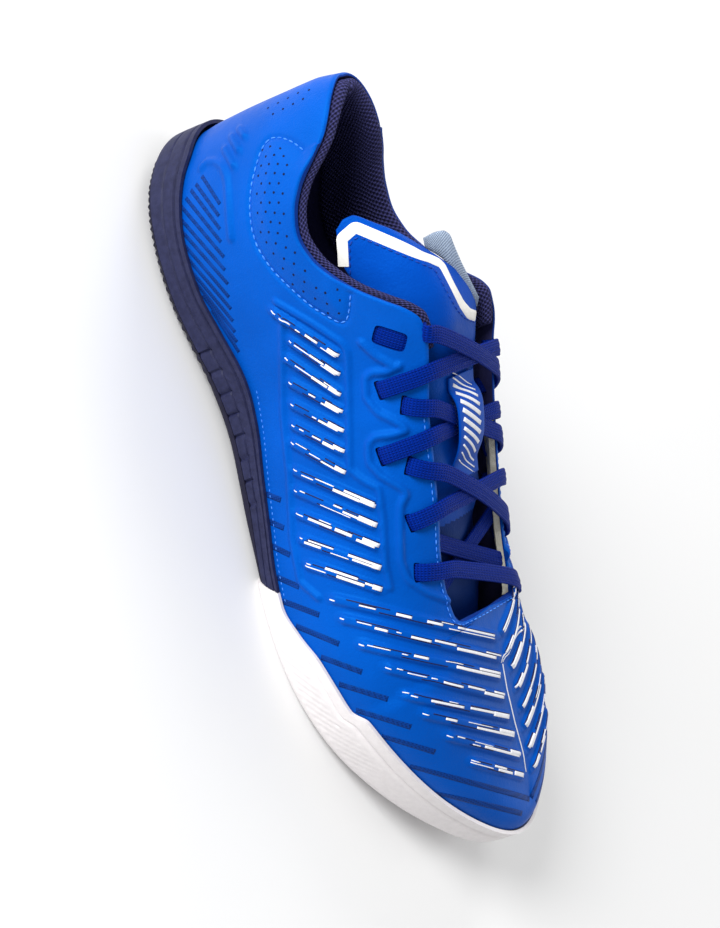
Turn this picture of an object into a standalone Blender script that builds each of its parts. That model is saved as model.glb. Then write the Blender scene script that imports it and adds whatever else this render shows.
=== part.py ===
# Indoor soccer shoe for the right foot: toe toward +X, medial side toward +Y, standing on its sole
import math

import bmesh
import bpy
import numpy as np

for old in list(bpy.data.objects):
    bpy.data.objects.remove(old, do_unlink=True)

# Driving sizes in metres
SOLE_LENGTH = 0.290
BALL_WIDTH = 0.104
HEEL_HEIGHT = 0.0865
INSTEP_HEIGHT = 0.093
SOLE_HEIGHT = 0.020

# Thicknesses and fits in metres
UPPER_WALL = 0.0022
CLEARANCE = 0.0003
CUP_GAP = 0.00045
RIM_INSET = 0.0008
RIM_WALL = 0.0014
UPPER_INSET = RIM_INSET + RIM_WALL + CUP_GAP
UPPER_TUCK = 0.0012
INSOLE_THICKNESS = 0.0040
TONGUE_THICKNESS = 0.0040
RIDGE_START = 0.008
RIDGE_TRIM = 0.021
LEAN_REACH = 0.30
JOINT_STEP = 0.0016
JOINT_ALONG = 0.162
JOINT_SLANT = 0.85

# share of sole length, then reach from the centre line as shares of ball width
OUTLINE_COLUMNS = ('share', 'lateral', 'medial')
OUTLINE = (
    (0.0, 0.0, 0.0),
    (0.03, 0.1769, 0.1769),
    (0.07, 0.2538, 0.2558),
    (0.13, 0.3135, 0.3115),
    (0.2, 0.3385, 0.3288),
    (0.28, 0.3308, 0.3125),
    (0.36, 0.3288, 0.2933),
    (0.44, 0.3673, 0.3029),
    (0.52, 0.4212, 0.3462),
    (0.6, 0.475, 0.4087),
    (0.68, 0.4962, 0.4692),
    (0.74, 0.4827, 0.4942),
    (0.8, 0.4385, 0.5038),
    (0.86, 0.3577, 0.4827),
    (0.91, 0.2635, 0.4269),
    (0.95, 0.1635, 0.3442),
    (0.98, 0.0692, 0.2442),
    (1.0, -0.0788, 0.0788),
)
# share of sole length, then heights and edge radius as shares of sole height
SOLE_COLUMNS = ('share', 'bottom', 'floor', 'rim', 'round_edge')
SOLE = (
    (0.0, 0.2, 0.65, 1.225, 0.3),
    (0.03, 0.1, 0.6, 1.19, 0.3),
    (0.06, 0.025, 0.54, 1.025, 0.29),
    (0.09, 0.0, 0.5, 0.91, 0.28),
    (0.14, 0.0, 0.475, 0.81, 0.27),
    (0.2, 0.0, 0.465, 0.79, 0.26),
    (0.26, 0.04, 0.475, 0.88, 0.24),
    (0.32, 0.11, 0.49, 0.96, 0.21),
    (0.38, 0.12, 0.46, 0.86, 0.19),
    (0.44, 0.08, 0.4, 0.69, 0.17),
    (0.5, 0.035, 0.315, 0.56, 0.15),
    (0.56, 0.01, 0.25, 0.445, 0.13),
    (0.6, 0.0, 0.24, 0.43, 0.12),
    (0.64, 0.0, 0.26, 0.61, 0.12),
    (0.68, 0.0, 0.3, 0.85, 0.13),
    (0.72, 0.02, 0.35, 0.95, 0.14),
    (0.752, 0.05, 0.4, 1.0, 0.15),
    (0.772, 0.07, 0.43, 1.23, 0.16),
    (0.82, 0.14, 0.51, 1.29, 0.19),
    (0.88, 0.26, 0.63, 1.32, 0.24),
    (0.94, 0.42, 0.76, 1.37, 0.28),
    (1.0, 0.6, 0.9, 1.5, 0.3),
)
# share of sole length, height / instep height, sideways / ball width, wall and crown fullness, swell
RIDGE_COLUMNS = ('share', 'height', 'sideways', 'wall', 'crown', 'swell')
RIDGE = (
    (0.0, 1.1183, 0.0, 2.0, 2.4, 0.0),
    (0.07, 1.1183, 0.0, 2.0, 2.4, 0.0),
    (0.13, 1.2903, 0.0, 2.0, 2.4, 0.0),
    (0.2, 1.5484, 0.0, 2.0, 2.3, 0.0038),
    (0.27, 1.5054, 0.0048, 2.0, 2.2, 0.0192),
    (0.33, 1.2688, 0.0192, 2.0, 2.1, 0.0923),
    (0.38, 1.1075, 0.0308, 2.0, 2.0, 0.1346),
    (0.43, 1.0054, 0.0365, 2.0, 2.0, 0.1346),
    (0.5, 0.8925, 0.0385, 2.0, 2.0, 0.1154),
    (0.58, 0.7796, 0.0385, 2.0, 2.0, 0.0817),
    (0.66, 0.672, 0.0404, 2.0, 2.0, 0.0385),
    (0.74, 0.5935, 0.0481, 2.1, 2.0, 0.0058),
    (0.8, 0.5484, 0.0577, 2.2, 2.1, 0.0),
    (0.86, 0.4989, 0.0769, 2.3, 2.1, 0.0),
    (0.915, 0.4516, 0.099, 2.3, 2.2, 0.0),
    (0.97, 0.4022, 0.1231, 2.3, 2.2, 0.0),
    (1.0, 0.371, 0.1288, 2.3, 2.2, 0.0),
)
# height over the sole rim and forward shift of the heel back, as shares of heel height
BACK_LEAN_COLUMNS = ('height', 'forward')
BACK_LEAN = (
    (0.0, 0.0139),
    (0.0925, 0.0081),
    (0.2312, 0.0081),
    (0.3468, 0.0104),
    (0.4624, 0.0127),
    (0.6012, 0.0139),
    (0.6936, 0.0277),
    (0.7399, 0.0347),
    (0.9249, 0.0578),
    (1.5029, 0.0694),
)
# share of sole length, sideways / ball width, height / instep height, more sideways on the medial side
OPENING_COLUMNS = ('share', 'sideways', 'height', 'medial_extra')
OPENING = (
    (0.0, 0.0, 0.9247, 0.0),
    (0.04, 0.1298, 0.914, 0.0),
    (0.075, 0.1923, 0.8839, 0.0),
    (0.1, 0.2404, 0.8333, 0.0),
    (0.13, 0.2769, 0.7581, 0.0),
    (0.16, 0.2942, 0.7097, 0.0),
    (0.19, 0.3038, 0.6903, 0.0),
    (0.22, 0.3096, 0.7097, 0.0),
    (0.25, 0.3125, 0.7634, 0.0),
    (0.275, 0.3077, 0.828, 0.0029),
    (0.3, 0.2885, 0.9086, 0.0173),
    (0.32, 0.2615, 0.971, 0.0481),
    (0.335, 0.2452, 0.9957, 0.075),
    (0.35, 0.2365, 0.9914, 0.0923),
    (0.39, 0.2192, 0.9355, 0.0962),
    (0.45, 0.2163, 0.8495, 0.0865),
    (0.52, 0.2115, 0.7742, 0.0692),
    (0.58, 0.2096, 0.7043, 0.0538),
    (0.62, 0.2135, 0.6559, 0.0423),
    (0.66, 0.2115, 0.6151, 0.0269),
    (0.69, 0.2058, 0.5978, 0.0192),
    (0.708, 0.1962, 0.5914, 0.0154),
    (0.717, 0.1769, 0.5892, 0.0135),
    (0.7235, 0.125, 0.5871, 0.0058),
    (0.7275, 0.0, 0.586, 0.0),
)
# distance from the heel / sole length, edge positions / ball width, heights / instep height
TONGUE_COLUMNS = ('along', 'lateral_side', 'lateral_height', 'medial_side', 'medial_height', 'centre_height')
TONGUE = (
    (0.1862, -0.1875, 0.7849, 0.0481, 1.0, 0.8817),
    (0.2207, -0.1923, 0.7581, 0.0865, 1.0, 0.9355),
    (0.2448, -0.1865, 0.7419, 0.1058, 1.0, 0.9613),
    (0.2759, -0.1712, 0.7688, 0.125, 1.0, 0.9828),
    (0.3103, -0.1558, 0.8226, 0.1635, 0.9892, 0.9892),
    (0.3414, -0.1385, 0.8441, 0.1808, 0.9677, 0.9742),
    (0.3724, -0.1327, 0.8333, 0.1981, 0.9086, 0.9333),
    (0.4069, -0.1558, 0.8108, 0.2173, 0.8333, 0.8817),
    (0.4483, -0.1683, 0.7548, 0.2212, 0.7591, 0.8258),
    (0.5, -0.1779, 0.7011, 0.2212, 0.6903, 0.7591),
    (0.5517, -0.1885, 0.6473, 0.2327, 0.6323, 0.6989),
    (0.6034, -0.2, 0.5892, 0.2481, 0.571, 0.6387),
    (0.6552, -0.1779, 0.5419, 0.2356, 0.5333, 0.5785),
    (0.6897, -0.125, 0.5118, 0.1923, 0.5118, 0.5376),
    (0.7241, -0.0673, 0.4774, 0.1635, 0.4774, 0.4989),
)
# position across from -1 lateral to 1 medial, distance from the heel / sole length
TONGUE_TOP_COLUMNS = ('across', 'along')
TONGUE_TOP = (
    (-1.0, 0.199),
    (-0.85, 0.1903),
    (-0.7, 0.1897),
    (-0.35, 0.2121),
    (0.0, 0.2379),
    (0.35, 0.2638),
    (0.6, 0.2828),
    (0.8, 0.3017),
    (1.0, 0.3397),
)


# Curves through the tables
def steady_curve(xs, ys):
    """Piecewise cubic that never overshoots the rows of a table."""
    xs = np.array(xs, float)
    ys = np.array(ys, float)
    step = np.diff(xs)
    slope = np.diff(ys) / step
    lean = np.zeros(len(xs))
    lean[0] = slope[0]
    lean[-1] = slope[-1]
    for i in range(1, len(xs) - 1):
        if slope[i - 1] * slope[i] > 0:
            one = 2 * step[i] + step[i - 1]
            two = step[i] + 2 * step[i - 1]
            lean[i] = (one + two) / (one / slope[i - 1] + two / slope[i])

    def at(x):
        x = np.clip(np.asarray(x, float), xs[0], xs[-1])
        i = np.clip(np.searchsorted(xs, x, side="right") - 1, 0, len(xs) - 2)
        h = step[i]
        t = (x - xs[i]) / h
        rise = (1 + 2 * t) * (1 - t) ** 2 * ys[i] + t * (1 - t) ** 2 * h * lean[i]
        fall = t ** 2 * (3 - 2 * t) * ys[i + 1] + t ** 2 * (t - 1) * h * lean[i + 1]
        return rise + fall
    return at


def smooth_curve(xs, ys):
    """Natural cubic spline through the rows of a table."""
    xs = np.array(xs, float)
    ys = np.array(ys, float)
    n = len(xs)
    h = np.diff(xs)
    matrix = np.zeros((n, n))
    right = np.zeros(n)
    matrix[0, 0] = matrix[-1, -1] = 1
    for i in range(1, n - 1):
        matrix[i, i - 1] = h[i - 1]
        matrix[i, i] = 2 * (h[i - 1] + h[i])
        matrix[i, i + 1] = h[i]
        right[i] = 6 * ((ys[i + 1] - ys[i]) / h[i] - (ys[i] - ys[i - 1]) / h[i - 1])
    bend = np.linalg.solve(matrix, right)

    def at(x):
        x = np.asarray(x, float)
        i = np.clip(np.searchsorted(xs, x, side="right") - 1, 0, n - 2)
        t = x - xs[i]
        u = xs[i + 1] - x
        k = h[i]
        cubic = (bend[i] * u ** 3 + bend[i + 1] * t ** 3) / (6 * k)
        return cubic + (ys[i] / k - bend[i] * k / 6) * u + (ys[i + 1] / k - bend[i + 1] * k / 6) * t
    return at


def column(table, number, size=1.0):
    return [row[number] * size for row in table]


def share_at(turn):
    return (1 - np.cos(np.pi * np.asarray(turn, float))) / 2


def turn_at(share):
    return np.arccos(1 - 2 * np.clip(share, 0, 1)) / np.pi


outline_turns = [float(turn_at(row[0])) for row in OUTLINE]
lateral_reach = smooth_curve(outline_turns, column(OUTLINE, 1, BALL_WIDTH))
medial_reach = smooth_curve(outline_turns, column(OUTLINE, 2, BALL_WIDTH))
bottom_height = steady_curve(column(SOLE, 0), column(SOLE, 1, SOLE_HEIGHT))
floor_height = steady_curve(column(SOLE, 0), column(SOLE, 2, SOLE_HEIGHT))
rim_height = steady_curve(column(SOLE, 0), column(SOLE, 3, SOLE_HEIGHT))
edge_radius = steady_curve(column(SOLE, 0), column(SOLE, 4, SOLE_HEIGHT))
ridge_height = steady_curve(column(RIDGE, 0), column(RIDGE, 1, INSTEP_HEIGHT))
ridge_side = steady_curve(column(RIDGE, 0), column(RIDGE, 2, BALL_WIDTH))
wall_fullness = steady_curve(column(RIDGE, 0), column(RIDGE, 3))
crown_fullness = steady_curve(column(RIDGE, 0), column(RIDGE, 4))
medial_swell = steady_curve(column(RIDGE, 0), column(RIDGE, 5, BALL_WIDTH))
back_lean = steady_curve(column(BACK_LEAN, 0, HEEL_HEIGHT), column(BACK_LEAN, 1, HEEL_HEIGHT))
opening_side = steady_curve(column(OPENING, 0), column(OPENING, 1, BALL_WIDTH))
opening_height = steady_curve(column(OPENING, 0), column(OPENING, 2, INSTEP_HEIGHT))
medial_extra = steady_curve(column(OPENING, 0), column(OPENING, 3, BALL_WIDTH))
OPENING_END = OPENING[-1][0]


# Plan outline of the sole
def outline(turn, side, inset=0.0):
    """Plan points at a turn from heel (0) to toe (1); side is -1 lateral or 1 medial."""
    turn = np.asarray(turn, float)
    reach = lateral_reach if side < 0 else medial_reach

    def place(q):
        return SOLE_LENGTH * share_at(q), side * reach(q)
    x, y = place(turn)
    ahead = place(turn + 1e-4)
    behind = place(turn - 1e-4)
    dx = ahead[0] - behind[0]
    dy = ahead[1] - behind[1]
    size = np.hypot(dx, dy)
    return x + side * dy / size * inset, y - side * dx / size * inset


# Outer skin of the upper
def skin(turn, side, lift):
    """Point of the upper's outer skin; lift runs from 0 at the sole rim to pi/2 at the ridge."""
    turn = np.asarray(turn, float)
    lift = np.asarray(lift, float)
    share = share_at(turn)
    foot_x, foot_y = outline(turn, side, UPPER_INSET)
    base = rim_height(share) - UPPER_TUCK
    ridge_x = RIDGE_START + (SOLE_LENGTH - RIDGE_TRIM) * share
    draw = 1 - np.cos(lift) ** (2 / wall_fullness(share))
    z = base + (ridge_height(share) - base) * np.sin(lift) ** (2 / crown_fullness(share))
    x = foot_x + (ridge_x - foot_x) * draw
    y = foot_y + (ridge_side(share) - foot_y) * draw
    if side > 0:
        y = y + medial_swell(share) * np.sin(2 * lift)
    fade = np.clip(1 - turn / LEAN_REACH, 0, 1) ** 2
    return np.stack(np.broadcast_arrays(x + back_lean(z - base) * fade, y, z), axis=-1)


def opening_lift(turn, side):
    """Lift at which a rib of the upper meets the collar and throat edge."""
    turn = np.atleast_1d(np.asarray(turn, float))
    share = share_at(turn)
    reach_out = opening_side(share) + (medial_extra(share) if side > 0 else 0.0)
    low = np.full(len(turn), 0.02)
    high = np.full(len(turn), math.pi / 2 - 1e-4)
    for _ in range(4):
        steps = low[:, None] + (high - low)[:, None] * np.linspace(0, 1, 61)[None, :]
        rib = skin(turn[:, None], side, steps)
        aside = np.abs(rib[..., 1] - ridge_side(share)[:, None]) - reach_out[:, None]
        above = rib[..., 2] - opening_height(share)[:, None]
        best = np.argmin(aside ** 2 + above ** 2, axis=1)
        pick = steps[np.arange(len(turn)), best]
        reach = (high - low) / 60
        low = np.maximum(pick - reach, 0.02)
        high = np.minimum(pick + reach, math.pi / 2 - 1e-4)
    return np.where(share < OPENING_END - 1e-6, pick, math.pi / 2)


def skin_normal(turn, side, lift):
    """Outward unit normal of the upper's outer skin."""
    turn = np.clip(np.asarray(turn, float), 2e-3, 1 - 2e-3)
    lift = np.clip(np.asarray(lift, float), 0.03, math.pi / 2 - 0.01)
    along = skin(turn + 1e-3, side, lift) - skin(turn - 1e-3, side, lift)
    up = skin(turn, side, lift + 1e-3) - skin(turn, side, lift - 1e-3)
    normal = np.cross(along, up) * -side
    return normal / np.linalg.norm(normal, axis=-1, keepdims=True)


def below_edge(turn, side, depth, beyond=True):
    """Skin point and normal a distance down the rib from the opening edge."""
    top = float(opening_lift(turn, side)[0])
    steps = np.linspace(top, 0.03, 90)
    rib = skin(float(turn), side, steps)
    down = np.concatenate([[0], np.cumsum(np.linalg.norm(np.diff(rib, axis=0), axis=1))])
    angle = float(np.interp(max(depth, 0), down, steps))
    point = skin(float(turn), side, angle)
    if depth < 0 and beyond:
        tangent = rib[1] - rib[0]
        point = point + tangent / np.linalg.norm(tangent) * depth
    return point, skin_normal(float(turn), side, angle), down[-1]


# Side wall of the sole
def side_inset(turn, height):
    """Inset of the sole's outer wall from its widest outline at a height."""
    share = share_at(turn)
    bottom = bottom_height(share)
    radius = edge_radius(share)
    rim = rim_height(share)
    drop = np.clip(radius - (height - bottom), 0, radius)
    under = radius - np.sqrt(np.maximum(radius ** 2 - drop ** 2, 0))
    rise = np.clip((height - bottom - radius) / np.maximum(rim - bottom - radius, 1e-4), 0, 1)
    return under + RIM_INSET * rise ** 1.5


def joint_inset(turn, height):
    """Extra inset low on the rear sole where it runs into the forefoot piece."""
    share = share_at(turn)
    t = np.clip((share - 0.46) / 0.11, 0, 1)
    low = 1 - np.clip((height - bottom_height(share)) / (floor_height(share) - bottom_height(share)), 0, 1)
    return JOINT_STEP * t * t * (3 - 2 * t) * low


# Lacing sizes in metres
LACE_WIDTH = 0.0070
LACE_THICKNESS = 0.0015
LACE_LIFT = 0.0022
LACE_OVERLAP = 0.0006
LACE_ARCH = 0.0010
LACE_DIP = 0.0031
LACE_PRESS = 0.0013
EYELET_RADIUS = 0.0022
LOOP_WIDTH = 0.0170
LOOP_THICKNESS = 0.0012
LOOP_SIDE = 0.0045
LOOP_REAR = 0.1205
LOOP_FRONT = 0.156
LOOP_TOP_AT = 0.1375
LOOP_REACH = 0.0125
LOOP_RISE = 0.0043

# Eyelets: share of sole length and distance below the throat edge in metres
EYELET_COLUMNS = ("share", "below")
LATERAL_EYELETS = ((0.626, 0.0110), (0.564, 0.0117), (0.496, 0.0098), (0.472, 0.0195), (0.424, 0.0098),
                   (0.396, 0.0192))
MEDIAL_EYELETS = ((0.710, 0.0095), (0.632, 0.0075), (0.565, 0.0075), (0.524, 0.0075), (0.480, 0.0075),
                  (0.444, 0.0075))
REAR_CORNER = (0.352, 0.0008)
MEDIAL_CORNER = (0.404, 0.0002)

# Collar padding section: depth below the edge and distance inward from the outer skin in metres
LINING_COLUMNS = ("depth", "inward")
LINING_GAP = UPPER_WALL + 2 * CLEARANCE
LINING_SECTION = (
    (0.0300, 0.0), (0.0200, 0.0), (0.0100, 0.0), (0.0004, 0.0), (-0.0014, 0.0003), (-0.0026, 0.0016),
    (-0.0028, 0.0032), (-0.0016, 0.0048), (0.0010, 0.0058), (0.0060, 0.0060), (0.0130, 0.0050),
    (0.0210, 0.0034), (0.0300, 0.0022),
)
LINING_END = 0.375

# Resolution
UPPER_RIBS = 54
UPPER_ROWS = 8
SOLE_STATIONS = 38
LINING_SECTIONS = 48

# Tread grooves across the underside: share of sole length, and their depth
REAR_GROOVES = (0.06, 0.095, 0.13, 0.165, 0.20, 0.235, 0.27, 0.33, 0.39, 0.45, 0.51)
FRONT_GROOVES = (0.62, 0.655, 0.69, 0.725, 0.76, 0.795, 0.83)
GROOVE_DEPTH = 0.0011
GROOVE_WIDTH = 0.0024
GROOVE_DRAFT = 0.0004
OUTSOLE_HEIGHT = 0.0042

sample_turns = np.linspace(0, 1, 4001)
CENTRE_X = SOLE_LENGTH / 2
CENTRE_Y = float(medial_reach(sample_turns).max() - lateral_reach(sample_turns).max()) / 2


# Materials
def material(name, colour, roughness):
    found = bpy.data.materials.new(name)
    found.use_nodes = True
    shader = found.node_tree.nodes["Principled BSDF"]
    shader.inputs["Base Color"].default_value = (*colour, 1.0)
    shader.inputs["Roughness"].default_value = roughness
    found.diffuse_color = (*colour, 1.0)
    return found


blue_synthetic = material("blue_synthetic", (0.004, 0.095, 0.62), 0.42)
navy_mesh = material("navy_mesh", (0.022, 0.018, 0.085), 0.85)
navy_rubber = material("navy_rubber", (0.020, 0.017, 0.070), 0.62)
dark_rubber = material("dark_rubber", (0.010, 0.010, 0.035), 0.60)
white_rubber = material("white_rubber", (0.82, 0.79, 0.80), 0.50)
blue_lace = material("blue_lace", (0.004, 0.035, 0.42), 0.75)
grey_textile = material("grey_textile", (0.30, 0.34, 0.42), 0.90)


# Mesh helpers
def make(name, verts, faces, surface, smooth=True):
    mesh = bpy.data.meshes.new(name)
    moved = [(v[0] - CENTRE_X, v[1] - CENTRE_Y, v[2]) for v in verts]
    clean = []
    for face in faces:
        kept = []
        for v in face:
            if v not in kept:
                kept.append(v)
        if len(kept) > 2:
            clean.append(kept)
    mesh.from_pydata(moved, [], clean)
    body = bmesh.new()
    body.from_mesh(mesh)
    bmesh.ops.recalc_face_normals(body, faces=body.faces)
    if body.calc_volume(signed=True) < 0:
        bmesh.ops.reverse_faces(body, faces=body.faces)
    for face in body.faces:
        face.smooth = smooth
    body.to_mesh(mesh)
    body.free()
    mesh.materials.append(surface)
    solid = bpy.data.objects.new(name, mesh)
    bpy.context.collection.objects.link(solid)
    return solid


def stacked_rings(name, turns, rows, surface):
    """Closed solid from rows around the outline; the first and last rows are closed across."""
    count = len(turns)
    verts = []
    index = {}
    for r, row in enumerate(rows):
        for side in (-1, 1):
            points = row(turns, side)
            for i in range(count):
                if side > 0 and i in (0, count - 1):
                    index[r, side, i] = index[r, -1, i]
                    continue
                index[r, side, i] = len(verts)
                verts.append(tuple(points[i]))
    faces = []
    for r in range(len(rows) - 1):
        for side in (-1, 1):
            for i in range(count - 1):
                quad = [index[r, side, i], index[r, side, i + 1]]
                quad += [index[r + 1, side, i + 1], index[r + 1, side, i]]
                faces.append(quad if side < 0 else quad[::-1])
    for r, turned in ((0, False), (len(rows) - 1, True)):
        for i in range(count - 1):
            quad = [index[r, 1, i], index[r, 1, i + 1], index[r, -1, i + 1], index[r, -1, i]]
            faces.append(quad[::-1] if turned else quad)
    return make(name, verts, faces, surface)


def tube(name, loops, surface):
    """Closed solid through a row of closed loops with flat ends."""
    count = len(loops[0])
    verts = [tuple(p) for loop in loops for p in loop]
    faces = []
    for a in range(len(loops) - 1):
        for k in range(count):
            n = (k + 1) % count
            faces.append([a * count + k, a * count + n, (a + 1) * count + n, (a + 1) * count + k])
    faces.append(list(range(count))[::-1])
    faces.append([(len(loops) - 1) * count + k for k in range(count)])
    return make(name, verts, faces, surface)


def boolean(target, tool, operation):
    change = target.modifiers.new("cut", "BOOLEAN")
    change.operation = operation
    change.object = tool
    change.solver = "EXACT"
    bpy.context.view_layer.update()
    result = target.evaluated_get(bpy.context.evaluated_depsgraph_get())
    cut = bpy.data.meshes.new_from_object(result)
    target.modifiers.clear()
    kept = target.data.name
    target.data = cut
    cut.name = kept
    bpy.data.objects.remove(tool, do_unlink=True)
    tidy = bmesh.new()
    tidy.from_mesh(cut)
    bmesh.ops.remove_doubles(tidy, verts=tidy.verts, dist=2e-6)
    bmesh.ops.dissolve_degenerate(tidy, dist=1e-6, edges=tidy.edges)
    straight = [v for v in tidy.verts if len(v.link_edges) == 2]
    bmesh.ops.dissolve_verts(tidy, verts=straight)
    tidy.to_mesh(cut)
    tidy.free()
    return target


# Joint between the rear sole and the forefoot piece
def joint_block(ahead, offset):
    """Block that holds everything behind or ahead of the slanted joint."""
    low, high = -0.01, 0.06
    start = JOINT_ALONG + offset
    far = 0.40 if ahead else -0.10
    verts = []
    for y in (-0.1, 0.1):
        verts += [(start + JOINT_SLANT * low, y, low), (start + JOINT_SLANT * high, y, high)]
        verts += [(far, y, high), (far, y, low)]
    faces = [[0, 1, 2, 3], [7, 6, 5, 4], [0, 4, 5, 1], [1, 5, 6, 2], [2, 6, 7, 3], [3, 7, 4, 0]]
    return make("joint_tool", verts, faces, dark_rubber, smooth=False)


# Stations along the sole with the walls of the tread grooves
def tread_turns(grooves):
    marks = [(turn, 0.0) for turn in np.linspace(0, 1, SOLE_STATIONS)]
    edges = []
    for share in grooves:
        along = share * SOLE_LENGTH
        half = GROOVE_WIDTH / 2
        walls = ((-half - GROOVE_DRAFT, 0.0), (-half, 1.0), (half, 1.0), (half + GROOVE_DRAFT, 0.0))
        edges.append((along - half - GROOVE_DRAFT, along + half + GROOVE_DRAFT))
        marks += [(float(turn_at((along + shift) / SOLE_LENGTH)), depth) for shift, depth in walls]
    kept = []
    for turn, depth in marks:
        along = float(share_at(turn)) * SOLE_LENGTH
        inside = any(a - 0.0006 < along < b + 0.0006 for a, b in edges)
        if depth > 0 or not inside or any(abs(along - e) < 1e-6 for pair in edges for e in pair):
            kept.append((turn, depth))
    kept.sort()
    return np.array([k[0] for k in kept]), np.array([k[1] for k in kept])


def wall_row(height_of, extra=0.0, stepped=True):
    def row(turns, side):
        z = height_of(turns)
        inset = side_inset(turns, z) + extra
        if stepped:
            inset = inset + joint_inset(turns, z)
        x, y = outline(turns, side, inset)
        return np.stack([x, y, z], axis=-1)
    return row


def flat_row(height_of, inset):
    def row(turns, side):
        x, y = outline(turns, side, inset)
        return np.stack([x, y, height_of(turns)], axis=-1)
    return row


def between(low, high, part):
    return lambda turns: low(turns) + (high(turns) - low(turns)) * part


def ground(turns):
    return bottom_height(share_at(turns))


def rim(turns):
    return rim_height(share_at(turns))


def floor(turns):
    return floor_height(share_at(turns))


def split_under(turns):
    return ground(turns) + OUTSOLE_HEIGHT * np.minimum(1, 0.45 + 6 * (0.57 - share_at(turns)).clip(0, 1))


def split(turns):
    return split_under(turns) + CLEARANCE


CUP_INSET = RIM_INSET + RIM_WALL
plain_turns = np.linspace(0, 1, SOLE_STATIONS + 6)

# Rear cup of the sole
rows = [wall_row(between(split, rim, part)) for part in (0.0, 0.25, 0.5, 0.75, 1.0)]
rows += [flat_row(rim, CUP_INSET), flat_row(floor, CUP_INSET)]
midsole = stacked_rings("midsole", plain_turns, rows, navy_rubber)
midsole = boolean(midsole, joint_block(False, -CLEARANCE), "INTERSECT")

# Rubber under the rear cup
rear_turns, rear_cut = tread_turns(REAR_GROOVES)


def rear_ground(turns):
    return ground(turns) + GROOVE_DEPTH * np.interp(turns, rear_turns, rear_cut)


rows = [wall_row(between(rear_ground, split_under, part)) for part in (0.0, 0.12, 0.35, 0.65, 1.0)]
heel_outsole = stacked_rings("heel_outsole", rear_turns, rows, dark_rubber)
heel_outsole = boolean(heel_outsole, joint_block(False, -CLEARANCE), "INTERSECT")

# Forefoot cup in one piece with its tread
front_turns, front_cut = tread_turns(FRONT_GROOVES)


def front_ground(turns):
    return ground(turns) + GROOVE_DEPTH * np.interp(turns, front_turns, front_cut)


parts_up = (0.0, 0.04, 0.12, 0.25, 0.45, 0.7, 1.0)
rows = [wall_row(between(front_ground, rim, part), stepped=False) for part in parts_up]
rows += [flat_row(rim, CUP_INSET), flat_row(floor, CUP_INSET)]
forefoot_outsole = stacked_rings("forefoot_outsole", front_turns, rows, white_rubber)
forefoot_outsole = boolean(forefoot_outsole, joint_block(True, 0.0), "INTERSECT")

# Insole
INSOLE_INSET = UPPER_INSET + UPPER_WALL + 2 * CLEARANCE


def insole_under(turns):
    return floor(turns) + CLEARANCE


def insole_top(turns):
    return insole_under(turns) + INSOLE_THICKNESS


rows = [flat_row(insole_under, INSOLE_INSET), flat_row(insole_top, INSOLE_INSET)]
insole = stacked_rings("insole", np.linspace(0, 1, 36), rows, navy_mesh)

# Upper as one shell with a real wall, open at the collar, the throat and underneath
end_turn = float(turn_at(OPENING_END))
rear_ribs = int(UPPER_RIBS * 0.70)
upper_turns = np.concatenate([
    np.linspace(0, float(turn_at(0.64)), rear_ribs),
    np.linspace(float(turn_at(0.64)), end_turn, 9)[1:],
    np.linspace(end_turn, 1, UPPER_RIBS - rear_ribs - 6)[1:],
])
verts = []
index = {}
last = len(upper_turns) - 1
for side in (-1, 1):
    ends = opening_lift(upper_turns, side)
    for i, turn in enumerate(upper_turns):
        foot_x, foot_y = outline(turn, side, UPPER_INSET)
        column_points = [(float(foot_x), float(foot_y), float(floor(turn)) + CLEARANCE)]
        column_points += [tuple(p) for p in skin(turn, side, np.linspace(0, ends[i], UPPER_ROWS))]
        for j, point in enumerate(column_points):
            shared = i in (0, last) or (j == UPPER_ROWS and turn > end_turn - 1e-6)
            if side > 0 and shared:
                index[side, i, j] = index[-1, i, j]
                continue
            index[side, i, j] = len(verts)
            verts.append(point)
faces = []
for side in (-1, 1):
    for i in range(last):
        for j in range(UPPER_ROWS):
            quad = [index[side, i, j], index[side, i + 1, j]]
            quad += [index[side, i + 1, j + 1], index[side, i, j + 1]]
            faces.append(quad if side < 0 else quad[::-1])


def wall_between(name, verts, faces, thickness, surface):
    """Closed solid from an open outer skin and its copy moved inward along the normals."""
    outer = bmesh.new()
    made = [outer.verts.new(v) for v in verts]
    for face in faces:
        kept = []
        for v in face:
            if v not in kept:
                kept.append(v)
        if len(kept) > 2:
            outer.faces.new([made[v] for v in kept])
    outer.normal_update()
    normals = [tuple(v.normal) for v in made]
    count = len(verts)
    inner = []
    for v, n in zip(verts, normals):
        inner.append((v[0] - n[0] * thickness, v[1] - n[1] * thickness, v[2] - n[2] * thickness))
    outer.verts.index_update()
    edges = [[v.index for v in e.verts] for e in outer.edges if len(e.link_faces) == 1]
    outer.free()
    closed = [list(f) for f in faces]
    closed += [[v + count for v in f][::-1] for f in faces]
    closed += [[a, b, b + count, a + count] for a, b in edges]
    return make(name, list(verts) + inner, closed, surface)


upper = wall_between("upper", verts, faces, UPPER_WALL, blue_synthetic)


# Points over the throat for the laces
def over_throat(share, across, lift):
    """Point a given height over the upper, or over the flat of the open throat.

    The position across counts from the ridge line to the throat edge and then down the outer skin.
    """
    side = -1 if across < 0 else 1
    edge = float(opening_side(share))
    turn = turn_at(share)
    if abs(across) < edge:
        left, _, _ = below_edge(turn, -1, 0.0)
        right, _, _ = below_edge(turn, 1, 0.0)
        part = (across + edge) / (2 * edge)
        rise = lift + LACE_ARCH * (1 - (across / edge) ** 2)
        return left + (right - left) * part + np.array([0.0, 0.0, rise]), np.array([0.3, 0.0, 1.0])
    point, normal, _ = below_edge(turn, side, abs(across) - edge)
    return point + normal * lift, normal


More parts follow.
